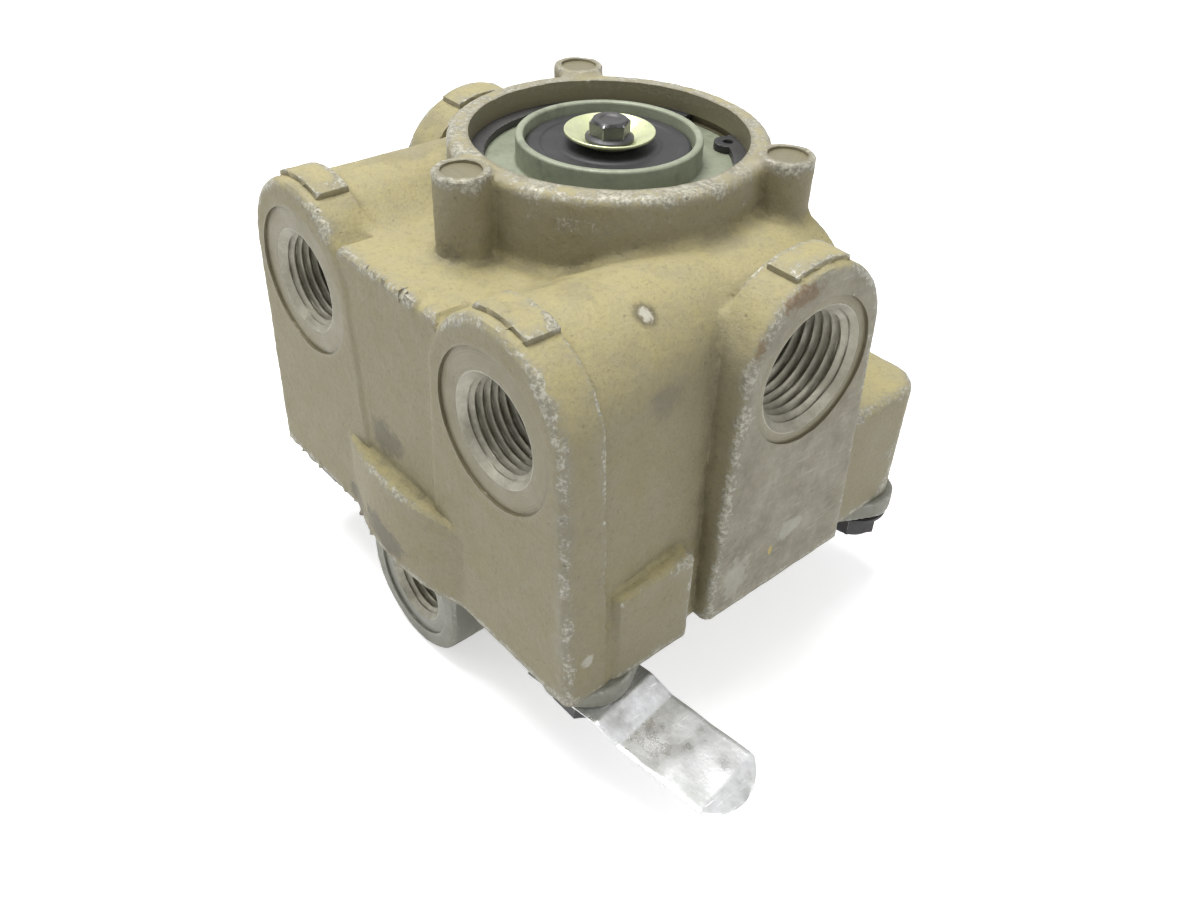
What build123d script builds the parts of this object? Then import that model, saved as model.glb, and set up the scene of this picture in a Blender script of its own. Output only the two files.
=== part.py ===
# Trailer relay valve, standing on its cover with the exhaust port up, as it lies on a bench.
# Millimetres. +Z is up and the bore axis is X = Y = 0. The two smaller ports face -Y.
import math
import os

from build123d import *

os.makedirs("parts", exist_ok=True)

# Cover, from the surface that it stands on up to its joint with the body
cover_depth = 22.8
cover_flange_thickness = 3.8
cover_flange_radius = 43.0
cover_ear_radius = 8.3
rear_ear_radius = 7.0
cover_ear_root_radius = 16.0
dome_radius = 30.0
dome_wall = 5.0
dome_floor = 5.0
dome_edge_radius = 5.0
control_boss_radius = 14.0
control_boss_reach = 46.0
control_foot_relief = 0.3
control_thread_radius = 6.85
control_thread_depth = 15.0
control_mouth_radius = 7.7
control_face_cut_radius = 10.5
control_passage_radius = 4.0
cover_seal_radius = 39.0
cover_seal_width = 2.6
cover_seal_depth = 1.3

# Body outline
front_reach = 46.3
side_reach = 47.5
rear_reach = 44.0
body_height = 70.8
deck_height = 57.6
shelf_height = 18.5
bowl_radius = 43.0
bowl_height = 26.0
neck_radius = 31.0
draft = 3.0
front_edge_radius = 1.6

# Front columns with the two smaller ports
front_port_offset = 27.9
front_port_height = 44.9
front_arch_radius = 16.5
front_arch_rise = 1.9
front_column_depth = 8.0
front_thread_radius = 8.55
front_thread_depth = 15.0
front_mouth_radius = 9.4
front_face_cut_radius = 13.5
front_passage_radius = 6.0
front_drop_radius = 5.0
front_drop_reach = 28.0
front_drop_floor = 14.5

# Side columns with the two larger ports
side_port_offset = 3.0
side_port_height = 45.6
side_arch_radius = 15.8
side_arch_rise = 2.6
side_column_depth = 8.6
side_thread_radius = 10.55
side_thread_depth = 17.0
side_mouth_radius = 11.4
side_face_cut_radius = 13.2
side_passage_radius = 8.0

# Cuts common to all ports
face_cut_depth = 0.5
mouth_angle = 45.0

# Webs between the columns
web_front_radius = 15.5
web_rear_radius = 12.6
web_ridge_height = 62.4
cross_web_radius = 14.9
cross_web_drop = 0.9
web_draft = 4.0
front_web_recess = 0.4
bulge_radius = 49.5
ledge_reach = 47.2
ledge_front = -36.6
ledge_rear = -19.5
ledge_edge_radius = 1.4

# Port number pads on the arches
pad_length = 12.4
pad_width = 6.0
pad_height = 0.9
front_pad_setback = 2.0
side_pad_setback = 1.6

# Rear corner lugs
lug_side_reach = 45.3
lug_front = 19.0
lug_inner = 26.0
lug_corner_radius = 7.0
lug_edge_radius = 2.0

# Exhaust collar with three bosses
collar_radius = 27.5
collar_edge_radius = 1.5
boss_radius = 4.6
boss_circle_radius = 30.4
boss_rise = 0.8
boss_recess_radius = 3.3
boss_recess_depth = 0.4
boss_angles = (-90.0, 30.0, 150.0)

# Bores of the body, heights from the joint with the cover
exhaust_bore_radius = 23.8
exhaust_bore_floor = 59.5
supply_radius = 19.0
supply_floor = 33.0
seat_radius = 10.0
seat_lip_width = 1.4
seat_lip_height = 1.0
delivery_radius = 30.0
delivery_ceiling = 27.0
piston_bore_radius = 36.0
piston_bore_depth = 20.0

# Relay piston
piston_stroke = 3.0
piston_clearance = 0.2
piston_foot_gap = 0.3
piston_thickness = 9.0
piston_web = 4.0
piston_rim_width = 6.5
piston_seal_width = 3.0
piston_seal_depth = 2.2
stem_radius = 8.4
stem_bore_radius = 6.8
stem_bore_depth = 5.0
stem_root_radius = 12.0

# Inlet and exhaust valve, sliding in the insert's guide
valve_travel = 1.5
valve_seat_gap = 0.02
valve_tube_radius = 8.0
valve_tube_bore = 5.6
valve_tube_length = 19.5
valve_flange_radius = 13.4
valve_flange_thickness = 2.0
valve_rubber_thickness = 2.2
valve_rubber_inset = 0.2
guide_clearance = 0.06

# Valve spring and its seat ring
spring_wire = 1.4
spring_clearance = 0.5
spring_turns = 5.0
spring_seat_thickness = 0.8
spring_seat_width = 3.2

# Exhaust insert
insert_clearance = 0.05
insert_thickness = 6.1
insert_guide_wall = 2.4
insert_guide_length = 12.5
insert_chamber_radius = 13.0
insert_chamber_floor = 1.6
insert_plate_top = 7.9
insert_plate_thickness = 2.8
insert_hub_radius = 4.2
insert_hub_drop = 3.0
insert_ring_radius = 16.0
insert_ring_wall = 1.4
insert_ring_drop = 0.6
exhaust_hole_radius = 2.5
exhaust_hole_circle = 9.2
exhaust_hole_count = 6
insert_seal_width = 2.6
insert_seal_depth = 1.9
guide_seal_width = 1.9
guide_seal_depth = 1.3
guide_seal_setback = 2.0
seal_gap = 0.05

# Snap ring in its groove above the insert
snap_thickness = 1.3
snap_groove_depth = 1.3
snap_width = 3.7
snap_play = 0.05
snap_gap_angle = 28.0
snap_gap_centre = 86.0
snap_lug_radius = 2.5
snap_lug_hole = 0.9

# Flap with its washer and screw
flap_radius = 14.2
flap_thickness = 1.2
washer_radius = 7.8
washer_thickness = 0.6
washer_dish = 1.8
washer_flat_radius = 4.4
screw_radius = 2.0
screw_length = 6.4
screw_tip_gap = 0.3
screw_flange_radius = 4.2
screw_flange_thickness = 0.9
screw_hex = 6.2
screw_head_height = 3.6
thread_clearance = 0.05

# Cover bolts with their lock washers
bolt_offset = 40.0
front_bolt_reach = 36.5
rear_bolt_reach = 37.0
bolt_radius = 3.0
bolt_hex = 10.0
bolt_flange_radius = 6.6
bolt_flange_thickness = 1.2
bolt_head_height = 5.6
bolt_engagement = 12.0
bolt_tap_extra = 3.0
bolt_hole_clearance = 0.3
lock_washer_thickness = 1.0
lock_washer_radius = 5.8

# Identification tag under the front bolt of the +X side
tag_thickness = 0.5
tag_width = 14.6
tag_reach = 34.0
tag_tail = 7.0
tag_angle = 8.0
tag_slope = 22.0
tag_slope_start = 8.6
tag_slope_length = 5.0
tag_flat_slope = 3.0
tag_tip_length = 4.0
tag_tip_slope = 20.0
tag_bend_radius = 2.5
tag_end_sagitta = 3.6

# Heights worked out above the standing surface
joint_z = cover_depth
rim_z = joint_z + body_height
deck_z = joint_z + deck_height
front_port_z = joint_z + front_port_height
side_port_z = joint_z + side_port_height
exhaust_floor_z = joint_z + exhaust_bore_floor
supply_floor_z = joint_z + supply_floor
seat_z = supply_floor_z + seat_lip_height
control_port_z = control_boss_radius + control_foot_relief
flange_foot_z = joint_z - cover_flange_thickness
bolt_places = [
    (side * bolt_offset, y) for side in (-1, 1) for y in (-front_bolt_reach, rear_bolt_reach)
]
tag_bolt_place = (bolt_offset, -front_bolt_reach)


def arch(plane, centre_u, centre_v, radius, foot_v, side_draft):
    """Face of an arch: a round top on two straight sides that spread down to the foot."""
    angle = math.radians(side_draft)
    shoulder_u = radius * math.cos(angle)
    shoulder_v = centre_v + radius * math.sin(angle)
    foot_u = shoulder_u + (shoulder_v - foot_v) * math.tan(angle)
    with BuildSketch(plane) as face:
        with BuildLine():
            Polyline(
                (centre_u - shoulder_u, shoulder_v),
                (centre_u - foot_u, foot_v),
                (centre_u + foot_u, foot_v),
                (centre_u + shoulder_u, shoulder_v),
            )
            ThreePointArc(
                (centre_u + shoulder_u, shoulder_v),
                (centre_u, centre_v + radius),
                (centre_u - shoulder_u, shoulder_v),
            )
        make_face()
    return face.sketch


def ring_profile(points):
    """Closed half section in the XZ plane, ready to be revolved about the bore axis."""
    with BuildSketch(Plane.XZ) as face:
        with BuildLine():
            Polyline(*points, close=True)
        make_face()
    return face.sketch


def cylinder_along(plane, radius, length):
    """Solid round bar that starts on the plane's origin and runs against its normal."""
    with BuildSketch(plane) as face:
        Circle(radius)
    return extrude(face.sketch, amount=-length, mode=Mode.PRIVATE)


def port_cut(plane, face_radius, mouth_radius, thread_radius, depth, relief):
    """Tool for one tapped port: face cut, chamfered mouth and thread bore, mouth at the plane."""
    mouth_depth = (mouth_radius - thread_radius) / math.tan(math.radians(mouth_angle))
    profile = (
        (0, relief),
        (face_radius, relief),
        (face_radius, -face_cut_depth),
        (mouth_radius, -face_cut_depth),
        (thread_radius, -face_cut_depth - mouth_depth),
        (thread_radius, -depth),
        (0, -depth),
    )
    turning_plane = Plane(origin=plane.origin, x_dir=plane.x_dir, z_dir=-plane.y_dir)
    with BuildSketch(turning_plane) as face:
        with BuildLine():
            Polyline(*profile, close=True)
        make_face()
    return revolve(face.sketch, axis=Axis(plane.origin, plane.z_dir), mode=Mode.PRIVATE)


# Body
front_arch_z = front_port_z + front_arch_rise
side_arch_z = side_port_z + side_arch_rise
web_ridge_z = joint_z + web_ridge_height
front_plane_y = -front_reach
column_back_y = front_plane_y + front_column_depth
with BuildPart() as body:
    # Front columns, with their face edges rounded
    for side in (-1, 1):
        extrude(
            arch(
                Plane.XZ.offset(front_reach),
                side * front_port_offset,
                front_arch_z,
                front_arch_radius,
                joint_z,
                draft,
            ),
            amount=-front_column_depth,
        )
    face_edges = body.edges().group_by(Axis.Y)[0]
    fillet(face_edges.filter_by(lambda e: e.center().Z > joint_z + 1), radius=front_edge_radius)
    # Side columns, standing clear of everything made so far
    for side in (-1, 1):
        side_plane = Plane(origin=(side * side_reach, 0, 0), x_dir=(0, side, 0), z_dir=(side, 0, 0))
        extrude(
            arch(
                side_plane,
                side * side_port_offset,
                side_arch_z,
                side_arch_radius,
                joint_z,
                draft,
            ),
            amount=-side_column_depth,
        )
        outer = body.edges().filter_by_position(Axis.X, side * side_reach - 0.01, side * side_reach + 0.01)
        fillet(outer.filter_by(lambda e: e.center().Z > joint_z + 1), radius=front_edge_radius)
    # Exhaust collar with a rounded rim
    with BuildSketch(Plane.XY.offset(joint_z + bowl_height)):
        Circle(collar_radius)
    extrude(amount=body_height - bowl_height)
    rim = body.edges().filter_by(GeomType.CIRCLE).group_by(Axis.Z)[-1]
    fillet(rim, radius=collar_edge_radius)
    # Bosses beside the collar
    with BuildSketch(Plane.XY.offset(deck_z - boss_radius)):
        for angle in boss_angles:
            with Locations(
                (
                    boss_circle_radius * math.cos(math.radians(angle)),
                    boss_circle_radius * math.sin(math.radians(angle)),
                )
            ):
                Circle(boss_radius)
    extrude(amount=rim_z + boss_rise - deck_z + boss_radius)
    # Bowl over the relay piston, neck under the collar and front bulge
    with BuildSketch(Plane.XY.offset(joint_z)):
        Circle(bowl_radius)
    extrude(amount=bowl_height)
    with BuildSketch(Plane.XY.offset(joint_z)):
        Circle(neck_radius)
    extrude(amount=deck_height)
    with BuildSketch(Plane.XY.offset(joint_z)):
        Circle(bulge_radius)
        Rectangle(
            2 * front_port_offset,
            2 * bulge_radius,
            align=(Align.CENTER, Align.MAX),
            mode=Mode.INTERSECT,
        )
    extrude(amount=shelf_height)
    # Front web between the columns, up to the deck
    with BuildSketch(Plane.XY.offset(joint_z)):
        with Locations((0, -front_reach + front_web_recess)):
            Rectangle(
                2 * front_port_offset,
                front_reach - front_web_recess,
                align=(Align.CENTER, Align.MIN),
            )
    extrude(amount=deck_height)
    # Webs behind the front columns, tapering towards the side columns
    for side in (-1, 1):
        web_faces = [
            arch(
                Plane.XZ.offset(reach),
                side * front_port_offset,
                web_ridge_z - radius,
                radius,
                joint_z,
                web_draft,
            )
            for reach, radius in (
                (-column_back_y, web_front_radius),
                (side_arch_radius - side_port_offset, web_rear_radius),
            )
        ]
        loft(web_faces, ruled=True)
        extrude(web_faces[1], amount=-(2 * side_arch_radius))
        # Cross web from each side column in to the neck
        side_plane = Plane(origin=(side * side_reach, 0, 0), x_dir=(0, side, 0), z_dir=(side, 0, 0))
        extrude(
            arch(
                side_plane.offset(-side_column_depth),
                side * side_port_offset,
                web_ridge_z - cross_web_drop - cross_web_radius,
                cross_web_radius,
                joint_z,
                draft,
            ),
            amount=-(side_reach - side_column_depth - neck_radius / 2),
        )
    # Ledges low on both sides, with a rounded top edge
    with BuildPart(mode=Mode.PRIVATE) as ledge:
        with BuildSketch(Plane.XY.offset(joint_z)):
            with Locations((0, (ledge_front + ledge_rear) / 2)):
                Rectangle(2 * ledge_reach, ledge_rear - ledge_front)
        extrude(amount=shelf_height)
        fillet(ledge.edges().filter_by(Axis.Y).group_by(Axis.Z)[-1], radius=ledge_edge_radius)
    add(ledge.part)
    # Rear corner lugs
    with BuildPart(mode=Mode.PRIVATE) as lugs:
        with BuildSketch(Plane.XY.offset(joint_z)) as lug_outline:
            with Locations((0, lug_front)):
                Rectangle(2 * lug_side_reach, rear_reach - lug_front, align=(Align.CENTER, Align.MIN))
            fillet(lug_outline.vertices().group_by(Axis.Y)[-1], radius=lug_corner_radius)
            with Locations((0, lug_front)):
                Rectangle(
                    2 * lug_inner,
                    rear_reach - lug_front,
                    align=(Align.CENTER, Align.MIN),
                    mode=Mode.SUBTRACT,
                )
        extrude(amount=bowl_height)
        lug_tops = lugs.faces().group_by(Axis.Z)[-1]
        outer_edges = lug_tops.edges().filter_by(lambda e: abs(e.center().X) > lug_inner + 1)
        fillet(outer_edges.filter_by(lambda e: e.center().Y > lug_front + 1), radius=lug_edge_radius)
    add(lugs.part)
    # Raised pads for the port numbers
    for side in (-1, 1):
        with BuildSketch(Plane.XZ.offset(front_reach - front_pad_setback)):
            with Locations((side * front_port_offset, front_arch_z)):
                Circle(front_arch_radius + pad_height)
                Rectangle(
                    pad_length,
                    2 * front_arch_radius + 2 * pad_height,
                    align=(Align.CENTER, Align.MIN),
                    mode=Mode.INTERSECT,
                )
        extrude(amount=-pad_width)
        pad_plane = Plane(origin=(side * side_reach, 0, 0), x_dir=(0, side, 0), z_dir=(side, 0, 0))
        with BuildSketch(pad_plane.offset(-side_pad_setback)):
            with Locations((side * side_port_offset, side_arch_z)):
                Circle(side_arch_radius + pad_height)
                Rectangle(
                    pad_length,
                    2 * side_arch_radius + 2 * pad_height,
                    align=(Align.CENTER, Align.MIN),
                    mode=Mode.INTERSECT,
                )
        extrude(amount=-pad_width)
    # Shallow round ends of the bosses
    with BuildSketch(Plane.XY.offset(rim_z + boss_rise)):
        for angle in boss_angles:
            with Locations(
                (
                    boss_circle_radius * math.cos(math.radians(angle)),
                    boss_circle_radius * math.sin(math.radians(angle)),
                )
            ):
                Circle(boss_recess_radius)
    extrude(amount=-boss_recess_depth, mode=Mode.SUBTRACT)
    # Main bore: piston, delivery room, inlet seat, supply room and exhaust mouth
    groove_foot_z = exhaust_floor_z + insert_thickness
    groove_top_z = groove_foot_z + snap_thickness + 2 * snap_play
    groove_radius = exhaust_bore_radius + snap_groove_depth
    revolve(
        ring_profile(
            (
                (0, joint_z),
                (piston_bore_radius, joint_z),
                (piston_bore_radius, joint_z + piston_bore_depth),
                (delivery_radius, joint_z + piston_bore_depth),
                (delivery_radius, joint_z + delivery_ceiling),
                (seat_radius, joint_z + delivery_ceiling),
                (seat_radius, seat_z),
                (seat_radius + seat_lip_width, seat_z),
                (seat_radius + seat_lip_width, supply_floor_z),
                (supply_radius, supply_floor_z),
                (supply_radius, exhaust_floor_z),
                (exhaust_bore_radius, exhaust_floor_z),
                (exhaust_bore_radius, groove_foot_z),
                (groove_radius, groove_foot_z),
                (groove_radius, groove_top_z),
                (exhaust_bore_radius, groove_top_z),
                (exhaust_bore_radius, rim_z + boss_rise + 1),
                (0, rim_z + boss_rise + 1),
            )
        ),
        axis=Axis.Z,
        mode=Mode.SUBTRACT,
    )
    # Ports and their passages
    for side in (-1, 1):
        front_mouth = Plane(
            origin=(side * front_port_offset, -front_reach, front_port_z),
            x_dir=(1, 0, 0),
            z_dir=(0, -1, 0),
        )
        add(
            port_cut(
                front_mouth,
                front_face_cut_radius,
                front_mouth_radius,
                front_thread_radius,
                front_thread_depth,
                1,
            ),
            mode=Mode.SUBTRACT,
        )
        add(
            cylinder_along(
                front_mouth, front_passage_radius, front_reach - front_drop_reach + front_drop_radius / 2
            ),
            mode=Mode.SUBTRACT,
        )
        drop_top_z = front_port_z + front_passage_radius / 2
        drop_top = Plane(origin=(side * front_port_offset, -front_drop_reach, drop_top_z))
        add(
            cylinder_along(drop_top, front_drop_radius, drop_top_z - joint_z - front_drop_floor),
            mode=Mode.SUBTRACT,
        )
        side_mouth = Plane(
            origin=(side * side_reach, side_port_offset, side_port_z),
            x_dir=(0, side, 0),
            z_dir=(side, 0, 0),
        )
        add(
            port_cut(
                side_mouth,
                side_face_cut_radius,
                side_mouth_radius,
                side_thread_radius,
                side_thread_depth,
                1,
            ),
            mode=Mode.SUBTRACT,
        )
        add(
            cylinder_along(side_mouth, side_passage_radius, side_reach - supply_radius / 2),
            mode=Mode.SUBTRACT,
        )
    # Tapped holes for the cover bolts
    with BuildSketch(Plane.XY.offset(joint_z)):
        with Locations(*bolt_places):
            Circle(bolt_radius + thread_clearance)
    extrude(amount=bolt_engagement + bolt_tap_extra, mode=Mode.SUBTRACT)
body.part.label = "body"
export_step(body.part, "parts/body.step")

# Cover: flange with four ears, dome and control port boss
with BuildPart() as cover:
    with BuildSketch(Plane.XY.offset(flange_foot_z)):
        Circle(cover_flange_radius)
    extrude(amount=cover_flange_thickness)
    for x, y in bolt_places:
        with BuildSketch(Plane.XY.offset(flange_foot_z)):
            with Locations((x, y)):
                Circle(cover_ear_radius if y < 0 else rear_ear_radius)
            with Locations((x / 2, y / 2)):
                Circle(cover_ear_root_radius)
            make_hull()
        extrude(amount=cover_flange_thickness)
    with BuildSketch():
        Circle(dome_radius)
    extrude(amount=flange_foot_z)
    foot_edge = cover.edges().filter_by(GeomType.CIRCLE).group_by(Axis.Z)[0]
    fillet(foot_edge, radius=dome_edge_radius)
    with BuildSketch(Plane.XZ.offset(control_boss_reach)):
        with Locations((0, control_port_z)):
            Circle(control_boss_radius)
            Rectangle(
                2 * control_boss_radius,
                joint_z - control_port_z,
                align=(Align.CENTER, Align.MIN),
            )
        Rectangle(
            2 * control_boss_radius,
            joint_z,
            align=(Align.CENTER, Align.MIN),
            mode=Mode.INTERSECT,
        )
    extrude(amount=-control_boss_reach)
    # Control chamber inside the dome
    with BuildSketch(Plane.XY.offset(dome_floor)):
        Circle(dome_radius - dome_wall)
    extrude(amount=joint_z - dome_floor, mode=Mode.SUBTRACT)
    # Tapped control port and its passage
    control_mouth = Plane(
        origin=(0, -control_boss_reach, control_port_z), x_dir=(1, 0, 0), z_dir=(0, -1, 0)
    )
    add(
        port_cut(
            control_mouth,
            control_face_cut_radius,
            control_mouth_radius,
            control_thread_radius,
            control_thread_depth,
            1,
        ),
        mode=Mode.SUBTRACT,
    )
    add(
        cylinder_along(control_mouth, control_passage_radius, control_boss_reach - dome_radius / 2),
        mode=Mode.SUBTRACT,
    )
    # Seal groove and bolt holes
    with BuildSketch(Plane.XY.offset(joint_z)):
        Circle(cover_seal_radius + cover_seal_width / 2)
        Circle(cover_seal_radius - cover_seal_width / 2, mode=Mode.SUBTRACT)
    extrude(amount=-cover_seal_depth, mode=Mode.SUBTRACT)
    with BuildSketch(Plane.XY.offset(flange_foot_z)):
        with Locations(*bolt_places):
            Circle(bolt_radius + bolt_hole_clearance)
    extrude(amount=cover_flange_thickness, mode=Mode.SUBTRACT)
cover.part.label = "cover"
export_step(cover.part, "parts/cover.step")


def seal_section(inner_radius, outer_radius, foot_z, height):
    """Rounded half section of a rubber ring in the XZ plane."""
    width = outer_radius - inner_radius
    with BuildSketch(Plane.XZ) as face:
        with Locations((inner_radius + width / 2, foot_z + height / 2)):
            RectangleRounded(width, height, 0.35 * min(width, height))
    return face.sketch


# Seal ring between the cover and the body
with BuildPart() as cover_seal:
    revolve(
        seal_section(
            cover_seal_radius - cover_seal_width / 2 + seal_gap,
            cover_seal_radius + cover_seal_width / 2 - seal_gap,
            joint_z - cover_seal_depth + seal_gap,
            cover_seal_depth - 2 * seal_gap,
        ),
        axis=Axis.Z,
    )
cover_seal.part.label = "cover_seal"
export_step(cover_seal.part, "parts/cover_seal.step")

# Lock washers under the cover bolts, the one on the tag lower by the tag
with BuildPart() as bolt_washers:
    for place in bolt_places:
        seat_drop = tag_thickness if place == tag_bolt_place else 0
        with BuildSketch(Plane.XY.offset(flange_foot_z - seat_drop)):
            with Locations(place):
                Circle(lock_washer_radius)
                Circle(bolt_radius + bolt_hole_clearance, mode=Mode.SUBTRACT)
        extrude(amount=-lock_washer_thickness)
bolt_washers.part.label = "bolt_washers"
export_step(bolt_washers.part, "parts/bolt_washers.step")

# Cover bolts with flanged hexagon heads
with BuildPart() as cover_bolts:
    for place in bolt_places:
        seat_drop = tag_thickness if place == tag_bolt_place else 0
        bearing_z = flange_foot_z - seat_drop - lock_washer_thickness
        with BuildSketch(Plane.XY.offset(bearing_z)):
            with Locations(place):
                Circle(bolt_flange_radius)
        extrude(amount=-bolt_flange_thickness)
        with BuildSketch(Plane.XY.offset(bearing_z)):
            with Locations(place):
                RegularPolygon(bolt_hex / 2, 6, major_radius=False)
        extrude(amount=-bolt_head_height)
        with BuildSketch(Plane.XY.offset(bearing_z)):
            with Locations(place):
                Circle(bolt_radius)
        extrude(amount=joint_z + bolt_engagement - bearing_z)
cover_bolts.part.label = "cover_bolts"
export_step(cover_bolts.part, "parts/cover_bolts.step")

# Identification tag, a bent strip with a rounded end, clamped under one bolt
tag_turn = math.radians(tag_angle)
tag_plane = Plane(
    origin=(tag_bolt_place[0], tag_bolt_place[1], flange_foot_z - tag_thickness / 2),
    x_dir=(math.cos(tag_turn), math.sin(tag_turn), 0),
    z_dir=(math.sin(tag_turn), -math.cos(tag_turn), 0),
)
tag_knee_u = tag_slope_start + tag_slope_length * math.cos(math.radians(tag_slope))
tag_knee_v = -tag_slope_length * math.sin(math.radians(tag_slope))
tag_tip_u = tag_reach - tag_tip_length
tag_tip_v = tag_knee_v - (tag_tip_u - tag_knee_u) * math.tan(math.radians(tag_flat_slope))
tag_end_v = tag_tip_v - tag_tip_length * math.tan(math.radians(tag_tip_slope))
with BuildPart() as id_tag:
    with BuildSketch(tag_plane) as tag_side:
        with BuildLine() as tag_line:
            FilletPolyline(
                (-tag_tail, 0),
                (tag_slope_start, 0),
                (tag_knee_u, tag_knee_v),
                (tag_tip_u, tag_tip_v),
                (tag_reach, tag_end_v),
                radius=tag_bend_radius,
            )
        trace(tag_line.line, line_width=tag_thickness)
    extrude(amount=tag_width / 2, both=True)
    # Plan outline with the rounded end
    with BuildSketch(Plane(origin=tag_plane.origin, x_dir=tag_plane.x_dir, z_dir=(0, 0, 1))) as plan:
        with BuildLine():
            Polyline(
                (tag_reach - tag_end_sagitta, tag_width / 2),
                (-tag_tail, tag_width / 2),
                (-tag_tail, -tag_width / 2),
                (tag_reach - tag_end_sagitta, -tag_width / 2),
            )
            ThreePointArc(
                (tag_reach - tag_end_sagitta, -tag_width / 2),
                (tag_reach, 0),
                (tag_reach - tag_end_sagitta, tag_width / 2),
            )
        make_face()
    extrude(amount=flange_foot_z / 2, both=True, mode=Mode.INTERSECT)
    with BuildSketch(Plane.XY.offset(flange_foot_z)):
        with Locations(tag_bolt_place):
            Circle(bolt_radius + bolt_hole_clearance)
    extrude(amount=-2 * tag_thickness, mode=Mode.SUBTRACT)
id_tag.part.label = "id_tag"
export_step(id_tag.part, "parts/id_tag.step")

# Relay piston: rim with a seal groove, web and the stem that carries the exhaust seat
valve_rubber_z = seat_z + valve_seat_gap
stem_top_z = valve_rubber_z - (piston_stroke - valve_travel) - valve_seat_gap
piston_radius = piston_bore_radius - piston_clearance
piston_foot_z = joint_z + piston_foot_gap
piston_top_z = piston_foot_z + piston_thickness
piston_groove_foot_z = piston_foot_z + (piston_thickness - piston_seal_width) / 2
piston_groove_top_z = piston_groove_foot_z + piston_seal_width
piston_groove_radius = piston_radius - piston_seal_depth
with BuildPart() as relay_piston:
    revolve(
        ring_profile(
            (
                (0, piston_foot_z),
                (piston_radius, piston_foot_z),
                (piston_radius, piston_groove_foot_z),
                (piston_groove_radius, piston_groove_foot_z),
                (piston_groove_radius, piston_groove_top_z),
                (piston_radius, piston_groove_top_z),
                (piston_radius, piston_top_z),
                (piston_radius - piston_rim_width, piston_top_z),
                (piston_radius - piston_rim_width, piston_foot_z + piston_web),
                (stem_root_radius, piston_foot_z + piston_web),
                (stem_radius, piston_top_z),
                (stem_radius, stem_top_z),
                (stem_bore_radius, stem_top_z),
                (stem_bore_radius, stem_top_z - stem_bore_depth),
                (0, stem_top_z - stem_bore_depth),
            )
        ),
        axis=Axis.Z,
    )
relay_piston.part.label = "relay_piston"
export_step(relay_piston.part, "parts/relay_piston.step")

# Seal ring of the relay piston
with BuildPart() as piston_seal:
    revolve(
        seal_section(
            piston_groove_radius + seal_gap,
            piston_bore_radius - seal_gap,
            piston_groove_foot_z + seal_gap,
            piston_seal_width - 2 * seal_gap,
        ),
        axis=Axis.Z,
    )
piston_seal.part.label = "piston_seal"
export_step(piston_seal.part, "parts/piston_seal.step")

# Inlet and exhaust valve: hollow tube with a flange, and the rubber ring bonded under it
valve_flange_z = valve_rubber_z + valve_rubber_thickness
valve_shoulder_z = valve_flange_z + valve_flange_thickness
with BuildPart() as valve_tube:
    revolve(
        ring_profile(
            (
                (valve_tube_bore, valve_flange_z),
                (valve_flange_radius, valve_flange_z),
                (valve_flange_radius, valve_shoulder_z),
                (valve_tube_radius, valve_shoulder_z),
                (valve_tube_radius, valve_shoulder_z + valve_tube_length),
                (valve_tube_bore, valve_shoulder_z + valve_tube_length),
            )
        ),
        axis=Axis.Z,
    )
valve_tube.part.label = "valve_tube"
export_step(valve_tube.part, "parts/valve_tube.step")

with BuildPart() as valve_rubber:
    with BuildSketch(Plane.XY.offset(valve_rubber_z)):
        Circle(valve_flange_radius - valve_rubber_inset)
        Circle(valve_tube_bore + valve_rubber_inset, mode=Mode.SUBTRACT)
    extrude(amount=valve_rubber_thickness)
valve_rubber.part.label = "valve_rubber"
export_step(valve_rubber.part, "parts/valve_rubber.step")

# Exhaust insert: disc, raised tube ring, seat plate for the flap and the valve guide
insert_radius = exhaust_bore_radius - insert_clearance
insert_top_z = exhaust_floor_z + insert_thickness
insert_ring_z = rim_z - insert_ring_drop
plate_top_z = exhaust_floor_z + insert_plate_top
plate_foot_z = plate_top_z - insert_plate_thickness
chamber_floor_z = exhaust_floor_z + insert_chamber_floor
guide_bore = valve_tube_radius + guide_clearance
guide_radius = guide_bore + insert_guide_wall
guide_foot_z = exhaust_floor_z - insert_guide_length
insert_groove_foot_z = exhaust_floor_z + (insert_thickness - insert_seal_width) / 2
insert_groove_top_z = insert_groove_foot_z + insert_seal_width
insert_groove_radius = insert_radius - insert_seal_depth
guide_groove_radius = guide_bore + guide_seal_depth
guide_groove_feet = (
    guide_foot_z + guide_seal_setback,
    guide_foot_z + 2 * guide_seal_setback + guide_seal_width,
)
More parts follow.
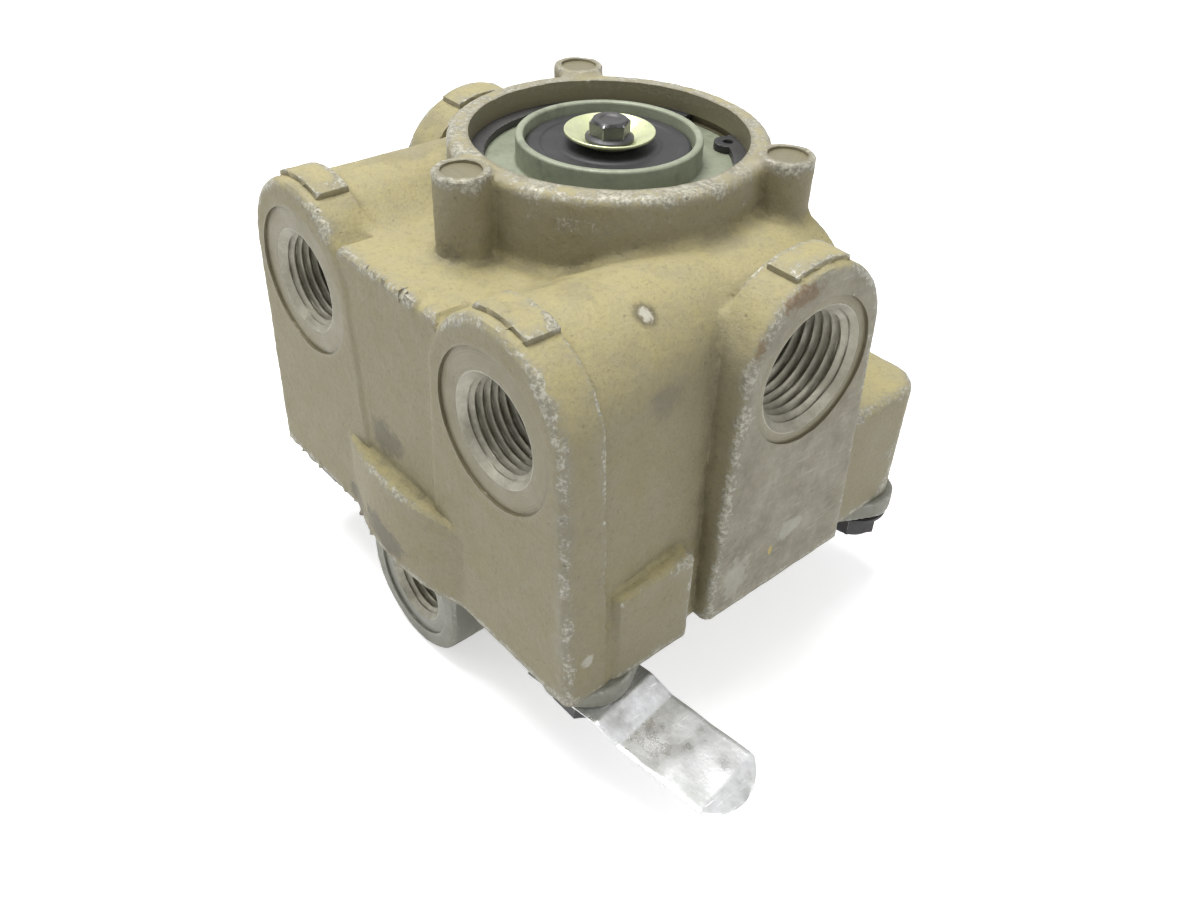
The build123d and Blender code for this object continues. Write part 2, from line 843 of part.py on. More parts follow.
with BuildPart() as exhaust_insert:
    revolve(
        ring_profile(
            (
                (0, plate_foot_z),
                (insert_chamber_radius, plate_foot_z),
                (insert_chamber_radius, chamber_floor_z),
                (guide_bore, chamber_floor_z),
                (guide_bore, guide_foot_z),
                (guide_radius, guide_foot_z),
                (guide_radius, exhaust_floor_z),
                (insert_radius, exhaust_floor_z),
                (insert_radius, insert_groove_foot_z),
                (insert_groove_radius, insert_groove_foot_z),
                (insert_groove_radius, insert_groove_top_z),
                (insert_radius, insert_groove_top_z),
                (insert_radius, insert_top_z),
                (insert_ring_radius, insert_top_z),
                (insert_ring_radius, insert_ring_z),
                (insert_ring_radius - insert_ring_wall, insert_ring_z),
                (insert_ring_radius - insert_ring_wall, plate_top_z),
                (0, plate_top_z),
            )
        ),
        axis=Axis.Z,
    )
    # Hub under the plate for the flap screw
    with BuildSketch(Plane.XY.offset(plate_foot_z)):
        Circle(insert_hub_radius)
    extrude(amount=-insert_hub_drop)
    with BuildSketch(Plane.XY.offset(plate_top_z)):
        with PolarLocations(exhaust_hole_circle, exhaust_hole_count):
            Circle(exhaust_hole_radius)
    extrude(amount=-insert_plate_thickness, mode=Mode.SUBTRACT)
    with BuildSketch(Plane.XY.offset(plate_top_z)):
        Circle(screw_radius + thread_clearance)
    extrude(amount=flap_thickness + washer_thickness - screw_length - screw_tip_gap, mode=Mode.SUBTRACT)
    for groove_foot in guide_groove_feet:
        with BuildSketch(Plane.XY.offset(groove_foot)):
            Circle(guide_groove_radius)
            Circle(guide_bore - guide_clearance, mode=Mode.SUBTRACT)
        extrude(amount=guide_seal_width, mode=Mode.SUBTRACT)
exhaust_insert.part.label = "exhaust_insert"
export_step(exhaust_insert.part, "parts/exhaust_insert.step")

# Seal ring of the insert and the two seal rings of its valve guide
with BuildPart() as insert_seal:
    revolve(
        seal_section(
            insert_groove_radius + seal_gap,
            exhaust_bore_radius - seal_gap,
            insert_groove_foot_z + seal_gap,
            insert_seal_width - 2 * seal_gap,
        ),
        axis=Axis.Z,
    )
insert_seal.part.label = "insert_seal"
export_step(insert_seal.part, "parts/insert_seal.step")

for name, groove_foot in zip(("lower_guide_seal", "upper_guide_seal"), guide_groove_feet):
    with BuildPart() as guide_seal:
        revolve(
            seal_section(
                valve_tube_radius + seal_gap,
                guide_groove_radius - seal_gap,
                groove_foot + seal_gap,
                guide_seal_width - 2 * seal_gap,
            ),
            axis=Axis.Z,
        )
    guide_seal.part.label = name
    export_step(guide_seal.part, f"parts/{name}.step")

# Spring seat ring under the insert, and the spring between it and the valve
spring_radius = guide_radius + spring_clearance + spring_wire / 2
spring_seat_z = exhaust_floor_z - spring_seat_thickness
with BuildPart() as spring_seat:
    with BuildSketch(Plane.XY.offset(spring_seat_z)):
        Circle(guide_radius + spring_clearance + spring_seat_width)
        Circle(guide_radius + seal_gap, mode=Mode.SUBTRACT)
    extrude(amount=spring_seat_thickness)
spring_seat.part.label = "spring_seat"
export_step(spring_seat.part, "parts/spring_seat.step")

spring_height = spring_seat_z - valve_shoulder_z - spring_wire
with BuildPart() as valve_spring:
    with BuildLine() as spring_line:
        Helix(
            pitch=spring_height / spring_turns,
            height=spring_height,
            radius=spring_radius,
            center=(0, 0, valve_shoulder_z + spring_wire / 2),
        )
    with BuildSketch(Plane(origin=spring_line.line @ 0, z_dir=spring_line.line % 0)):
        Circle(spring_wire / 2)
    sweep(path=spring_line.line)
valve_spring.part.label = "valve_spring"
export_step(valve_spring.part, "parts/valve_spring.step")

# Snap ring over the insert, open on the far side, with a lug at each end
snap_radius = groove_radius - 2 * snap_play
snap_inner_radius = snap_radius - snap_width
snap_lug_circle = snap_inner_radius + snap_lug_radius / 4
snap_lug_half_angle = snap_gap_angle / 2 + math.degrees(snap_lug_radius / snap_lug_circle)
gap_half = math.radians(snap_gap_angle / 2)
with BuildPart() as snap_ring:
    with BuildSketch(Plane.XY.offset(groove_foot_z + snap_play)) as snap_outline:
        Circle(snap_radius)
        Circle(snap_inner_radius, mode=Mode.SUBTRACT)
        with Locations(Rotation(0, 0, snap_gap_centre)):
            with BuildLine(mode=Mode.PRIVATE) as wedge:
                Polyline(
                    (0, 0),
                    (2 * snap_radius, -2 * snap_radius * math.tan(gap_half)),
                    (2 * snap_radius, 2 * snap_radius * math.tan(gap_half)),
                    close=True,
                )
            add(make_face(wedge.line.edges(), mode=Mode.PRIVATE), mode=Mode.SUBTRACT)
        lug_places = [
            (
                snap_lug_circle * math.cos(math.radians(snap_gap_centre + turn)),
                snap_lug_circle * math.sin(math.radians(snap_gap_centre + turn)),
            )
            for turn in (-snap_lug_half_angle, snap_lug_half_angle)
        ]
        with Locations(*lug_places):
            Circle(snap_lug_radius)
        with Locations(*lug_places):
            Circle(snap_lug_hole, mode=Mode.SUBTRACT)
    extrude(amount=snap_thickness)
snap_ring.part.label = "snap_ring"
export_step(snap_ring.part, "parts/snap_ring.step")

# Exhaust flap, its dished washer and its screw
flap_top_z = plate_top_z + flap_thickness
with BuildPart() as exhaust_flap:
    with BuildSketch(Plane.XY.offset(plate_top_z)):
        Circle(flap_radius)
        Circle(screw_radius + thread_clearance, mode=Mode.SUBTRACT)
    extrude(amount=flap_thickness)
exhaust_flap.part.label = "exhaust_flap"
export_step(exhaust_flap.part, "parts/exhaust_flap.step")

washer_top_z = flap_top_z + washer_thickness
with BuildPart() as flap_washer:
    revolve(
        ring_profile(
            (
                (screw_radius + thread_clearance, flap_top_z),
                (washer_flat_radius, flap_top_z),
                (washer_radius, flap_top_z + washer_dish),
                (washer_radius, washer_top_z + washer_dish),
                (washer_flat_radius, washer_top_z),
                (screw_radius + thread_clearance, washer_top_z),
            )
        ),
        axis=Axis.Z,
    )
flap_washer.part.label = "flap_washer"
export_step(flap_washer.part, "parts/flap_washer.step")

with BuildPart() as flap_screw:
    with BuildSketch(Plane.XY.offset(washer_top_z)):
        Circle(screw_radius)
    extrude(amount=-screw_length)
    with BuildSketch(Plane.XY.offset(washer_top_z)):
        Circle(screw_flange_radius)
    extrude(amount=screw_flange_thickness)
    with BuildSketch(Plane.XY.offset(washer_top_z)):
        RegularPolygon(screw_hex / 2, 6, major_radius=False)
    extrude(amount=screw_head_height)
flap_screw.part.label = "flap_screw"
export_step(flap_screw.part, "parts/flap_screw.step")
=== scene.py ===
"""Looks of a trailer relay valve that stands on its cover, with the exhaust end up.

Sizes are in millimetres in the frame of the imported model: +Z up, the bore axis at X = Y = 0 and
the two smaller ports facing -Y. A mesh becomes metres when its object is made. The two castings
are distance functions that a contouring grid turns into closed meshes, and every other new piece
is a profile or a section carried along a path.
"""

from __future__ import annotations

import logging
import math
from dataclasses import dataclass, field
from enum import Enum
from typing import Any, Callable

import bmesh
import bpy
import numpy as np
from mathutils import Matrix, Vector

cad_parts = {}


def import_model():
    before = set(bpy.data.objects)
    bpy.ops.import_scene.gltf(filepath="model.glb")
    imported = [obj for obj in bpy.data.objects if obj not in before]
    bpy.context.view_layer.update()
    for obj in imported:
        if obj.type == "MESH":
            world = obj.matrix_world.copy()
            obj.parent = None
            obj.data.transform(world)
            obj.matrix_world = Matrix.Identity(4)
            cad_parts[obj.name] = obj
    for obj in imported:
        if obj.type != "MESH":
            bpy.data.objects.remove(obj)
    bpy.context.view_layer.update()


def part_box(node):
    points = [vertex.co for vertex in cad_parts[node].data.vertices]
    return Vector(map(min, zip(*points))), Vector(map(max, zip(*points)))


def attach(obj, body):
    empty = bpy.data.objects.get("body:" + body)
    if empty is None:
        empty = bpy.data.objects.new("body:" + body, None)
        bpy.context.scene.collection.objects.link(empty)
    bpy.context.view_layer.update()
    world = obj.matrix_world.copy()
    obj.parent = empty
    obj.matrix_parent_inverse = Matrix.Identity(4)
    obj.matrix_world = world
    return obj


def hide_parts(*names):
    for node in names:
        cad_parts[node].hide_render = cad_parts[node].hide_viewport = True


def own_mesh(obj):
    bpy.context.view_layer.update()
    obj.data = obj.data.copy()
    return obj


Array = np.ndarray
Field = Callable[[Array, Array, Array], Array]
Colour = tuple[float, float, float]

MM = 0.001
LOG = logging.getLogger("relay_valve")


class Body(Enum):
    """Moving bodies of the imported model."""

    CASTING = "valve_body"
    PISTON = "relay_piston"
    VALVE = "inlet_valve"


# Distance functions


def both(a: Array, b: Array, radius: float = 0.0) -> Array:
    """Distance to what two shapes share, with its edge rounded.

    Formula: the larger of the two distances, and a quarter circle where both are within the
    radius of the edge.

    Args:
        a: Distance to the first shape, negative inside.
        b: Distance to the second shape.
        radius: Radius of the rounded edge.

    Returns:
        Distance to the common part.
    """
    u = np.maximum(a + radius, 0.0)
    v = np.maximum(b + radius, 0.0)
    return np.minimum(np.maximum(a, b), -radius) + np.hypot(u, v)


def either(a: Array, b: Array, radius: float) -> Array:
    """Distance to two shapes joined by a fillet.

    Formula: the smaller of the two distances, and a hollow quarter circle where both are within
    the radius of the corner between them.

    Args:
        a: Distance to the first shape, negative inside.
        b: Distance to the second shape.
        radius: Radius of the fillet.

    Returns:
        Distance to the joined shape.
    """
    u = np.maximum(radius - a, 0.0)
    v = np.maximum(radius - b, 0.0)
    return np.maximum(np.minimum(a, b), radius) - np.hypot(u, v)


def slab(value: Array, low: float, high: float) -> Array:
    """Distance to the layer between two planes: the larger of the two plane distances."""
    return np.maximum(low - value, value - high)


def tube(radial: Array, along: Array, radius: float, low: float, high: float) -> Array:
    """Distance to a round bar, with sharp ends, from a radial and an axial coordinate."""
    return np.maximum(radial - radius, slab(along, low, high))


def arch(u: Array, v: Array, radius: Array | float, draft: float) -> Array:
    """Distance to an arch outline whose round top stands on two spreading sides.

    Formula: the circle's distance above the points where the sides touch it, and below them the
    distance to the side, |u| cos(draft) + v sin(draft) - radius.

    Args:
        u: Sideways coordinate from the middle of the arch.
        v: Height above the centre of the round top.
        radius: Radius of the round top.
        draft: Slope of the sides in degrees.

    Returns:
        Distance to the outline.
    """
    turn = math.radians(draft)
    side = np.abs(u)
    on_round = v > side * math.tan(turn)
    return np.where(
        on_round,
        np.hypot(u, v) - radius,
        side * math.cos(turn) + v * math.sin(turn) - radius,
    )


def eased(value: Array, low: float, high: float) -> Array:
    """Smooth step from 0 at low to 1 at high: 3t^2 - 2t^3."""
    t = np.clip((value - low) / (high - low), 0.0, 1.0)
    return t * t * (3.0 - 2.0 * t)


@dataclass(frozen=True)
class Ripple:
    """Smooth uneven surface: a sum of plane waves with seeded directions and phases."""

    wavelength: float
    seed: int
    waves: int = 8

    def __call__(self, x: Array, y: Array, z: Array) -> Array:
        """Height of the surface, about -1 to 1.

        Args:
            x: X of each point in millimetres.
            y: Y of each point.
            z: Z of each point.

        Returns:
            One height for each point.
        """
        draw = np.random.default_rng(self.seed)
        ways = draw.normal(size=(self.waves, 3))
        ways /= np.linalg.norm(ways, axis=1)[:, None]
        ways *= draw.uniform(0.7, 1.5, self.waves)[:, None] * 2.0 * math.pi / self.wavelength
        phases = draw.uniform(0.0, 2.0 * math.pi, self.waves)
        total = np.zeros_like(x)
        for way, phase in zip(ways, phases):
            total += np.sin(way[0] * x + way[1] * y + way[2] * z + phase)
        return total / math.sqrt(2.0 * self.waves)


# Meshes


@dataclass
class Shell:
    """Points in millimetres and the faces between them."""

    points: Array
    faces: list[list[int]]

    def __add__(self, other: Shell) -> Shell:
        """Both shells as one mesh of separate solids."""
        shift = len(self.points)
        moved = [[i + shift for i in face] for face in other.faces]
        return Shell(np.vstack((self.points, other.points)), self.faces + moved)

    def to_object(
        self, name: str, material: bpy.types.Material, sharp: float = 32.0, weld: bool = True
    ) -> bpy.types.Object:
        """Makes the Blender object, with its place in its mesh.

        Args:
            name: Name of the piece.
            material: Its finish.
            sharp: Angle in degrees past which an edge is shaded as a crease.
            weld: Whether seams and poles still have to be merged and faces turned outwards.

        Returns:
            The object, at the origin.
        """
        mesh = bpy.data.meshes.new(name)
        mesh.from_pydata((self.points * MM).tolist(), [], self.faces)
        if weld:
            close_mesh(mesh)
        mesh.materials.append(material)
        piece = bpy.data.objects.new(name, mesh)
        bpy.context.scene.collection.objects.link(piece)
        shade(mesh, sharp)
        return piece


def close_mesh(mesh: bpy.types.Mesh) -> None:
    """Merges coincident points and turns every face of a mesh outwards.

    Args:
        mesh: Mesh in metres, changed in place.
    """
    work = bmesh.new()
    work.from_mesh(mesh)
    bmesh.ops.remove_doubles(work, verts=work.verts, dist=2e-6)
    bmesh.ops.dissolve_degenerate(work, edges=work.edges, dist=1e-7)
    bmesh.ops.recalc_face_normals(work, faces=work.faces)
    work.to_mesh(mesh)
    work.free()


def shade(mesh: bpy.types.Mesh, sharp: float) -> None:
    """Shades a mesh smooth with creases at its sharp edges, and notes how convex each point is.

    Args:
        mesh: Mesh in metres, changed in place.
        sharp: Angle in degrees past which an edge is a crease.
    """
    mesh.shade_smooth()
    mesh.set_sharp_from_angle(angle=math.radians(sharp))
    if "edge" not in mesh.attributes:
        write_attribute(mesh, "edge", convexity(mesh))


def write_attribute(mesh: bpy.types.Mesh, name: str, values: Array) -> None:
    """Stores one number for each point of a mesh.

    Args:
        mesh: Mesh that gets the attribute.
        name: Name that the materials read.
        values: One number for each point.
    """
    attribute = mesh.attributes.get(name) or mesh.attributes.new(name, "FLOAT", "POINT")
    attribute.data.foreach_set("value", values.astype(np.float32))


def mesh_points(mesh: bpy.types.Mesh) -> Array:
    """Points of a mesh in millimetres, one row each."""
    flat = np.zeros(len(mesh.vertices) * 3)
    mesh.vertices.foreach_get("co", flat)
    return flat.reshape(-1, 3) / MM


def convexity(mesh: bpy.types.Mesh) -> Array:
    """How far the surface falls away from each point, which marks outer edges.

    Formula: the mean over a point's edges of the drop below its tangent plane, divided by the
    edge's length.

    Args:
        mesh: Mesh to measure.

    Returns:
        One number for each point, positive on outer edges.
    """
    points = mesh_points(mesh)
    normals = np.zeros(len(mesh.vertices) * 3)
    mesh.vertices.foreach_get("normal", normals)
    normals = normals.reshape(-1, 3)
    pairs = np.zeros(len(mesh.edges) * 2, dtype=np.int64)
    mesh.edges.foreach_get("vertices", pairs)
    pairs = pairs.reshape(-1, 2)
    total = np.zeros(len(points))
    count = np.zeros(len(points))
    for here, there in ((0, 1), (1, 0)):
        way = points[pairs[:, there]] - points[pairs[:, here]]
        way /= np.maximum(np.linalg.norm(way, axis=1), 1e-9)[:, None]
        drop = -np.einsum("ij,ij->i", way, normals[pairs[:, here]])
        total += np.bincount(pairs[:, here], drop, len(points))
        count += np.bincount(pairs[:, here], minlength=len(points))
    return total / np.maximum(count, 1.0)


def grid_faces(rows: int, columns: int, close_rows: bool, close_columns: bool) -> list[list[int]]:
    """Quads of a grid of points that is stored row after row.

    Args:
        rows: Number of rows.
        columns: Points in each row.
        close_rows: Whether the last row joins the first.
        close_columns: Whether each row is a closed ring.

    Returns:
        Four point numbers for each face.
    """
    last_row = rows if close_rows else rows - 1
    last_column = columns if close_columns else columns - 1
    i, j = np.meshgrid(np.arange(last_row), np.arange(last_column), indexing="ij")
    below, beside = (i + 1) % rows, (j + 1) % columns
    corners = (i * columns + j, i * columns + beside, below * columns + beside, below * columns + j)
    return np.stack(corners, axis=-1).reshape(-1, 4).tolist()


def softened(points: Array, radius: float, steps: int = 4, closed: bool = True) -> Array:
    """An outline with its corners rounded by arcs.

    Formula: each corner becomes a rational quadratic curve between its two tangent points, with
    the cosine of half the turn as weight, which is an exact arc. The tangent length stays under
    half of the shorter side.

    Args:
        points: Corners in order, one row each.
        radius: Radius of the arcs.
        steps: Points on each arc.
        closed: Whether the last corner joins the first.

    Returns:
        The points of the rounded outline.
    """
    corners = np.asarray(points, dtype=float)
    before, after = np.roll(corners, 1, axis=0), np.roll(corners, -1, axis=0)
    back, ahead = before - corners, after - corners
    back_length = np.linalg.norm(back, axis=1)[:, None]
    ahead_length = np.linalg.norm(ahead, axis=1)[:, None]
    back, ahead = back / back_length, ahead / ahead_length
    half_turn = 0.5 * np.arccos(np.clip(-np.sum(back * ahead, axis=1), -1.0, 1.0))[:, None]
    reach = np.minimum(radius * np.tan(half_turn), 0.45 * np.minimum(back_length, ahead_length))
    start, end = corners + back * reach, corners + ahead * reach
    t = np.linspace(0.0, 1.0, steps)[None, :, None]
    weight = np.cos(half_turn)[:, :, None]
    low, middle, high = (1 - t) ** 2, 2 * weight * t * (1 - t), t**2
    arcs = low * start[:, None] + middle * corners[:, None] + high * end[:, None]
    arcs = arcs / (low + middle + high)
    if closed:
        return arcs.reshape(-1, corners.shape[1])
    inner = arcs[1:-1].reshape(-1, corners.shape[1])
    return np.vstack((corners[:1], inner, corners[-1:]))


def turned(
    profile: Array,
    closed: bool,
    segments: int = 128,
    centre: tuple[float, float] = (0.0, 0.0),
    flats: Array | None = None,
) -> Shell:
    """A profile carried round an upright axis.

    Formula: (cx + r cos a, cy + r sin a, z), where a station with flats has the smaller of r and
    the hexagon's radius, flats / 2 / cos(a folded into 60 degrees).

    Args:
        profile: Radius and height of each station.
        closed: Whether the profile is a closed loop, and not a line that ends on the axis.
        segments: Points round the axis.
        centre: X and Y of the axis.
        flats: Distance across the flats at each station, or infinity where it is round.

    Returns:
        The closed shell.
    """
    angle = np.arange(segments) * 2.0 * math.pi / segments
    radius = np.repeat(profile[:, :1], segments, axis=1)
    if flats is not None:
        folded = np.mod(angle, math.pi / 3.0) - math.pi / 6.0
        radius = np.minimum(radius, flats[:, None] / 2.0 / np.cos(folded)[None, :])
    x = centre[0] + radius * np.cos(angle)
    y = centre[1] + radius * np.sin(angle)
    z = np.repeat(profile[:, 1:2], segments, axis=1)
    grid = np.stack((x, y, z), axis=-1)
    return Shell(grid.reshape(-1, 3), grid_faces(len(profile), segments, closed, True))


def swept(sections: Array, caps: bool) -> Shell:
    """Closed sections joined one after the other.

    Args:
        sections: Points of each section, as sections by points by three.
        caps: Whether the two ends get a face, or else the last section joins the first.

    Returns:
        The closed shell.
    """
    count, around = sections.shape[:2]
    faces = grid_faces(count, around, not caps, True)
    if caps:
        faces.append(list(range(around)))
        faces.append(list(range((count - 1) * around, count * around))[::-1])
    return Shell(sections.reshape(-1, 3), faces)


def cut_with(piece: bpy.types.Object, tool: bpy.types.Object) -> None:
    """Takes one closed shell out of another and removes the tool.

    Args:
        piece: Object that is cut.
        tool: Object that is taken away and deleted.
    """
    modifier = piece.modifiers.new("cut", "BOOLEAN")
    modifier.operation = "DIFFERENCE"
    modifier.solver = "EXACT"
    modifier.object = tool
    apply_modifiers(piece)
    bpy.data.objects.remove(tool)


def apply_modifiers(piece: bpy.types.Object) -> None:
    """Turns what an object's modifiers show into its own mesh."""
    bpy.context.view_layer.update()
    graph = bpy.context.evaluated_depsgraph_get()
    mesh = bpy.data.meshes.new_from_object(piece.evaluated_get(graph))
    piece.modifiers.clear()
    piece.data = mesh


@dataclass(frozen=True)
class Contour:
    """Closed quad mesh round a distance function, with crisp edges where its gradient jumps.

    Each grid cell that the surface crosses gets one point, the one nearest to all the tangent
    planes at the crossings of its edges. Each crossed grid edge gets the quad between the four
    cells round it.
    """

    cell: float
    shift: tuple[float, float, float] = (0.0, 0.0, 0.0)
    coarse: int = 4
    chunk: int = 300_000
    pull: float = 0.04
    probe: float = 0.01

    def build(self, shape: Field, low: Array, high: Array) -> Shell:
        """Makes the mesh.

        Args:
            shape: Distance function, negative inside.
            low: Lowest corner of the shape.
            high: Highest corner of the shape.

        Returns:
            The closed shell.
        """
        lines = [self._lines(k, low[k], high[k]) for k in range(3)]
        values = self._sample(shape, lines)
        size = np.array(values.shape)
        crossings = [self._cross(shape, lines, values, axis) for axis in range(3)]
        cells = [self._cells_round(edges, axis, size) for axis, (edges, *_) in enumerate(crossings)]
        numbers, inverse = np.unique(np.concatenate([c.ravel() for c in cells]), return_inverse=True)
        places = np.concatenate([np.repeat(c[1], 4, axis=0) for c in crossings])
        normals = np.concatenate([np.repeat(c[2], 4, axis=0) for c in crossings])
        points = self._place(numbers, inverse, places, normals, lines, size)
        faces, start = [], 0
        for (_, _, _, leaving), group in zip(crossings, cells):
            quads = inverse[start : start + group.size].reshape(-1, 4)
            start += group.size
            faces.append(np.where(leaving[:, None], quads, quads[:, ::-1]))
        return Shell(points, np.concatenate(faces).tolist())

    def _lines(self, axis: int, low: float, high: float) -> Array:
        """Grid coordinates along one axis, past the shape on both sides."""
        first = math.floor((low - self.shift[axis]) / self.cell) - 2
        last = math.ceil((high - self.shift[axis]) / self.cell) + 2
        return np.arange(first, last + 1) * self.cell + self.shift[axis]

    def _evaluate(self, shape: Field, points: Array) -> Array:
        """Distances at many points, a chunk at a time."""
        parts = [points[i : i + self.chunk] for i in range(0, len(points), self.chunk)]
        return np.concatenate([shape(p[:, 0], p[:, 1], p[:, 2]) for p in parts])

    def _sample(self, shape: Field, lines: list[Array]) -> Array:
        """Distances at the grid points: a coarse grid first, then exact values near the surface."""
        step = self.coarse
        coarse = [line[0] + self.cell * step * np.arange(len(line) // step + 2) for line in lines]
        grid = np.stack(np.meshgrid(*coarse, indexing="ij"), axis=-1).reshape(-1, 3)
        rough = self._evaluate(shape, grid).reshape([len(c) for c in coarse])
        nearest = [np.round(np.arange(len(line)) / step).astype(int) for line in lines]
        values = rough[np.ix_(*nearest)]
        near = np.argwhere(np.abs(values) < step * self.cell * 1.3)
        points = np.stack([lines[k][near[:, k]] for k in range(3)], axis=-1)
        values[tuple(near.T)] = self._evaluate(shape, points)
        return values

    def _cross(
        self, shape: Field, lines: list[Array], values: Array, axis: int
    ) -> tuple[Array, Array, Array, Array]:
        """Where the surface crosses the grid edges along one axis.

        Returns:
            Grid indices of the edges, the crossing points, the normals there, and whether the
            surface is left in the direction of the axis.
        """
        ahead = np.take(values, range(1, values.shape[axis]), axis=axis)
        here = np.take(values, range(values.shape[axis] - 1), axis=axis)
        edges = np.argwhere((here < 0.0) != (ahead < 0.0))
        first = here[tuple(edges.T)]
        second = ahead[tuple(edges.T)]
        start = np.stack([lines[k][edges[:, k]] for k in range(3)], axis=-1)
        low, high = np.zeros(len(edges)), np.ones(len(edges))
        low_value, high_value = first.copy(), second.copy()
        for _ in range(3):
            t = np.clip(low_value / (low_value - high_value), 0.05, 0.95)
            t = low + t * (high - low)
            place = start.copy()
            place[:, axis] += t * self.cell
            value = self._evaluate(shape, place)
            same = (value < 0.0) == (first < 0.0)
            low, low_value = np.where(same, t, low), np.where(same, value, low_value)
            high, high_value = np.where(same, high, t), np.where(same, high_value, value)
        t = low + (high - low) * low_value / (low_value - high_value)
        place = start.copy()
        place[:, axis] += t * self.cell
        return edges, place, self.normals(shape, place), first < 0.0

    def normals(self, shape: Field, points: Array) -> Array:
        """Unit gradients of the distance, by central differences."""
        steps = np.eye(3) * self.probe
        slopes = [self._evaluate(shape, points + s) - self._evaluate(shape, points - s) for s in steps]
        gradient = np.stack(slopes, axis=-1)
        return gradient / np.maximum(np.linalg.norm(gradient, axis=1), 1e-12)[:, None]

    def _cells_round(self, edges: Array, axis: int, size: Array) -> Array:
        """Numbers of the four cells round each grid edge, in turning order."""
        u, v = (axis + 1) % 3, (axis + 2) % 3
        turns = ((-1, -1), (0, -1), (0, 0), (-1, 0))
        groups = []
        for du, dv in turns:
            cell = edges.copy()
            cell[:, u] += du
            cell[:, v] += dv
            groups.append((cell[:, 0] * size[1] + cell[:, 1]) * size[2] + cell[:, 2])
        return np.stack(groups, axis=-1)

    def _place(
        self,
        numbers: Array,
        inverse: Array,
        places: Array,
        normals: Array,
        lines: list[Array],
        size: Array,
    ) -> Array:
        """The point of each cell, nearest to the tangent planes of its crossings.

        Formula: with n the normals and p the crossings less their mean m, it solves
        (sum n n' + pull) x = sum n (n . p), adds m and stays within the cell.
        """
        count = len(numbers)

        def gather(weights: Array) -> Array:
            """Sum of one number over the crossings of each cell."""
            return np.bincount(inverse, weights, count)

        hits = np.bincount(inverse, minlength=count)[:, None]
        mean = np.stack([gather(places[:, k]) for k in range(3)], axis=-1) / hits
        offset = np.einsum("ij,ij->i", normals, places - mean[inverse])
        matrix = np.empty((count, 3, 3))
        for i in range(3):
            for j in range(i, 3):
                matrix[:, i, j] = matrix[:, j, i] = gather(normals[:, i] * normals[:, j])
        matrix += np.eye(3) * self.pull
        side = np.stack([gather(normals[:, k] * offset) for k in range(3)], axis=-1)
        point = mean + np.linalg.solve(matrix, side[:, :, None])[:, :, 0]
        index = np.stack(np.unravel_index(numbers, size), axis=-1)
        low = np.stack([lines[k][index[:, k]] for k in range(3)], axis=-1)
        return np.clip(point, low, low + self.cell)


# Shader building blocks


class Graph:
    """Short way to add nodes to one tree and join them."""

    def __init__(self, tree: bpy.types.NodeTree) -> None:
        """Keeps the tree that the nodes go into."""
        self.tree = tree

    def add(self, kind: str, inputs: dict[Any, Any] | None = None, **settings: Any) -> bpy.types.Node:
        """Adds one node.

        Args:
            kind: Blender's name of the node type.
            inputs: Socket name or number, with a value or a socket to join.
            **settings: Properties of the node.

        Returns:
            The node.
        """
        node = self.tree.nodes.new(kind)
        for key, value in settings.items():
            setattr(node, key, value)
        for key, value in (inputs or {}).items():
            self.feed(node.inputs[key], value)
        return node

    def feed(self, socket: bpy.types.NodeSocket, value: Any) -> None:
        """Joins a socket to another, or sets its value."""
        if isinstance(value, bpy.types.NodeSocket):
            self.tree.links.new(value, socket)
        elif isinstance(value, tuple) and len(value) == 3 and socket.type == "RGBA":
            socket.default_value = (*value, 1.0)
        else:
            socket.default_value = value

    def value(self, operation: str, a: Any, b: Any = 0.0, clamp: bool = False) -> bpy.types.NodeSocket:
        """Result of one arithmetic node."""
        node = self.add("ShaderNodeMath", {0: a, 1: b}, operation=operation, use_clamp=clamp)
        return node.outputs[0]

    def ramp(self, value: Any, low: float, high: float) -> bpy.types.NodeSocket:
        """Smooth step of a value, 0 at low and 1 at high."""
        inputs = {"Value": value, "From Min": low, "From Max": high}
        return self.add("ShaderNodeMapRange", inputs, interpolation_type="SMOOTHSTEP").outputs[0]

    def mix(self, factor: Any, a: Any, b: Any) -> bpy.types.NodeSocket:
        """Colour between a and b."""
        return self.add("ShaderNodeMix", {0: factor, 6: a, 7: b}, data_type="RGBA").outputs[2]

    def between(self, factor: Any, a: Any, b: Any) -> bpy.types.NodeSocket:
        """Number between a and b."""
        return self.add("ShaderNodeMix", {0: factor, 2: a, 3: b}, data_type="FLOAT").outputs[0]

    def noise(self, vector: Any, scale: Any, detail: float = 3.0, rough: float = 0.55) -> bpy.types.NodeSocket:
        """Noise texture of about 0.3 to 0.7."""
        inputs = {"Vector": vector, "Scale": scale, "Detail": detail, "Roughness": rough}
        return self.add("ShaderNodeTexNoise", inputs).outputs[0]

    def group(self, tree: bpy.types.NodeTree, inputs: dict[str, Any]) -> bpy.types.Node:
        """Places a node group with its own input values."""
        node = self.tree.nodes.new("ShaderNodeGroup")
        node.node_tree = tree
        for key, value in inputs.items():
            self.feed(node.inputs[key], value)
        return node

    def attribute(self, name: str) -> bpy.types.NodeSocket:
        """Number that the mesh stores for each point."""
        return self.add("ShaderNodeAttribute", attribute_name=name).outputs["Fac"]


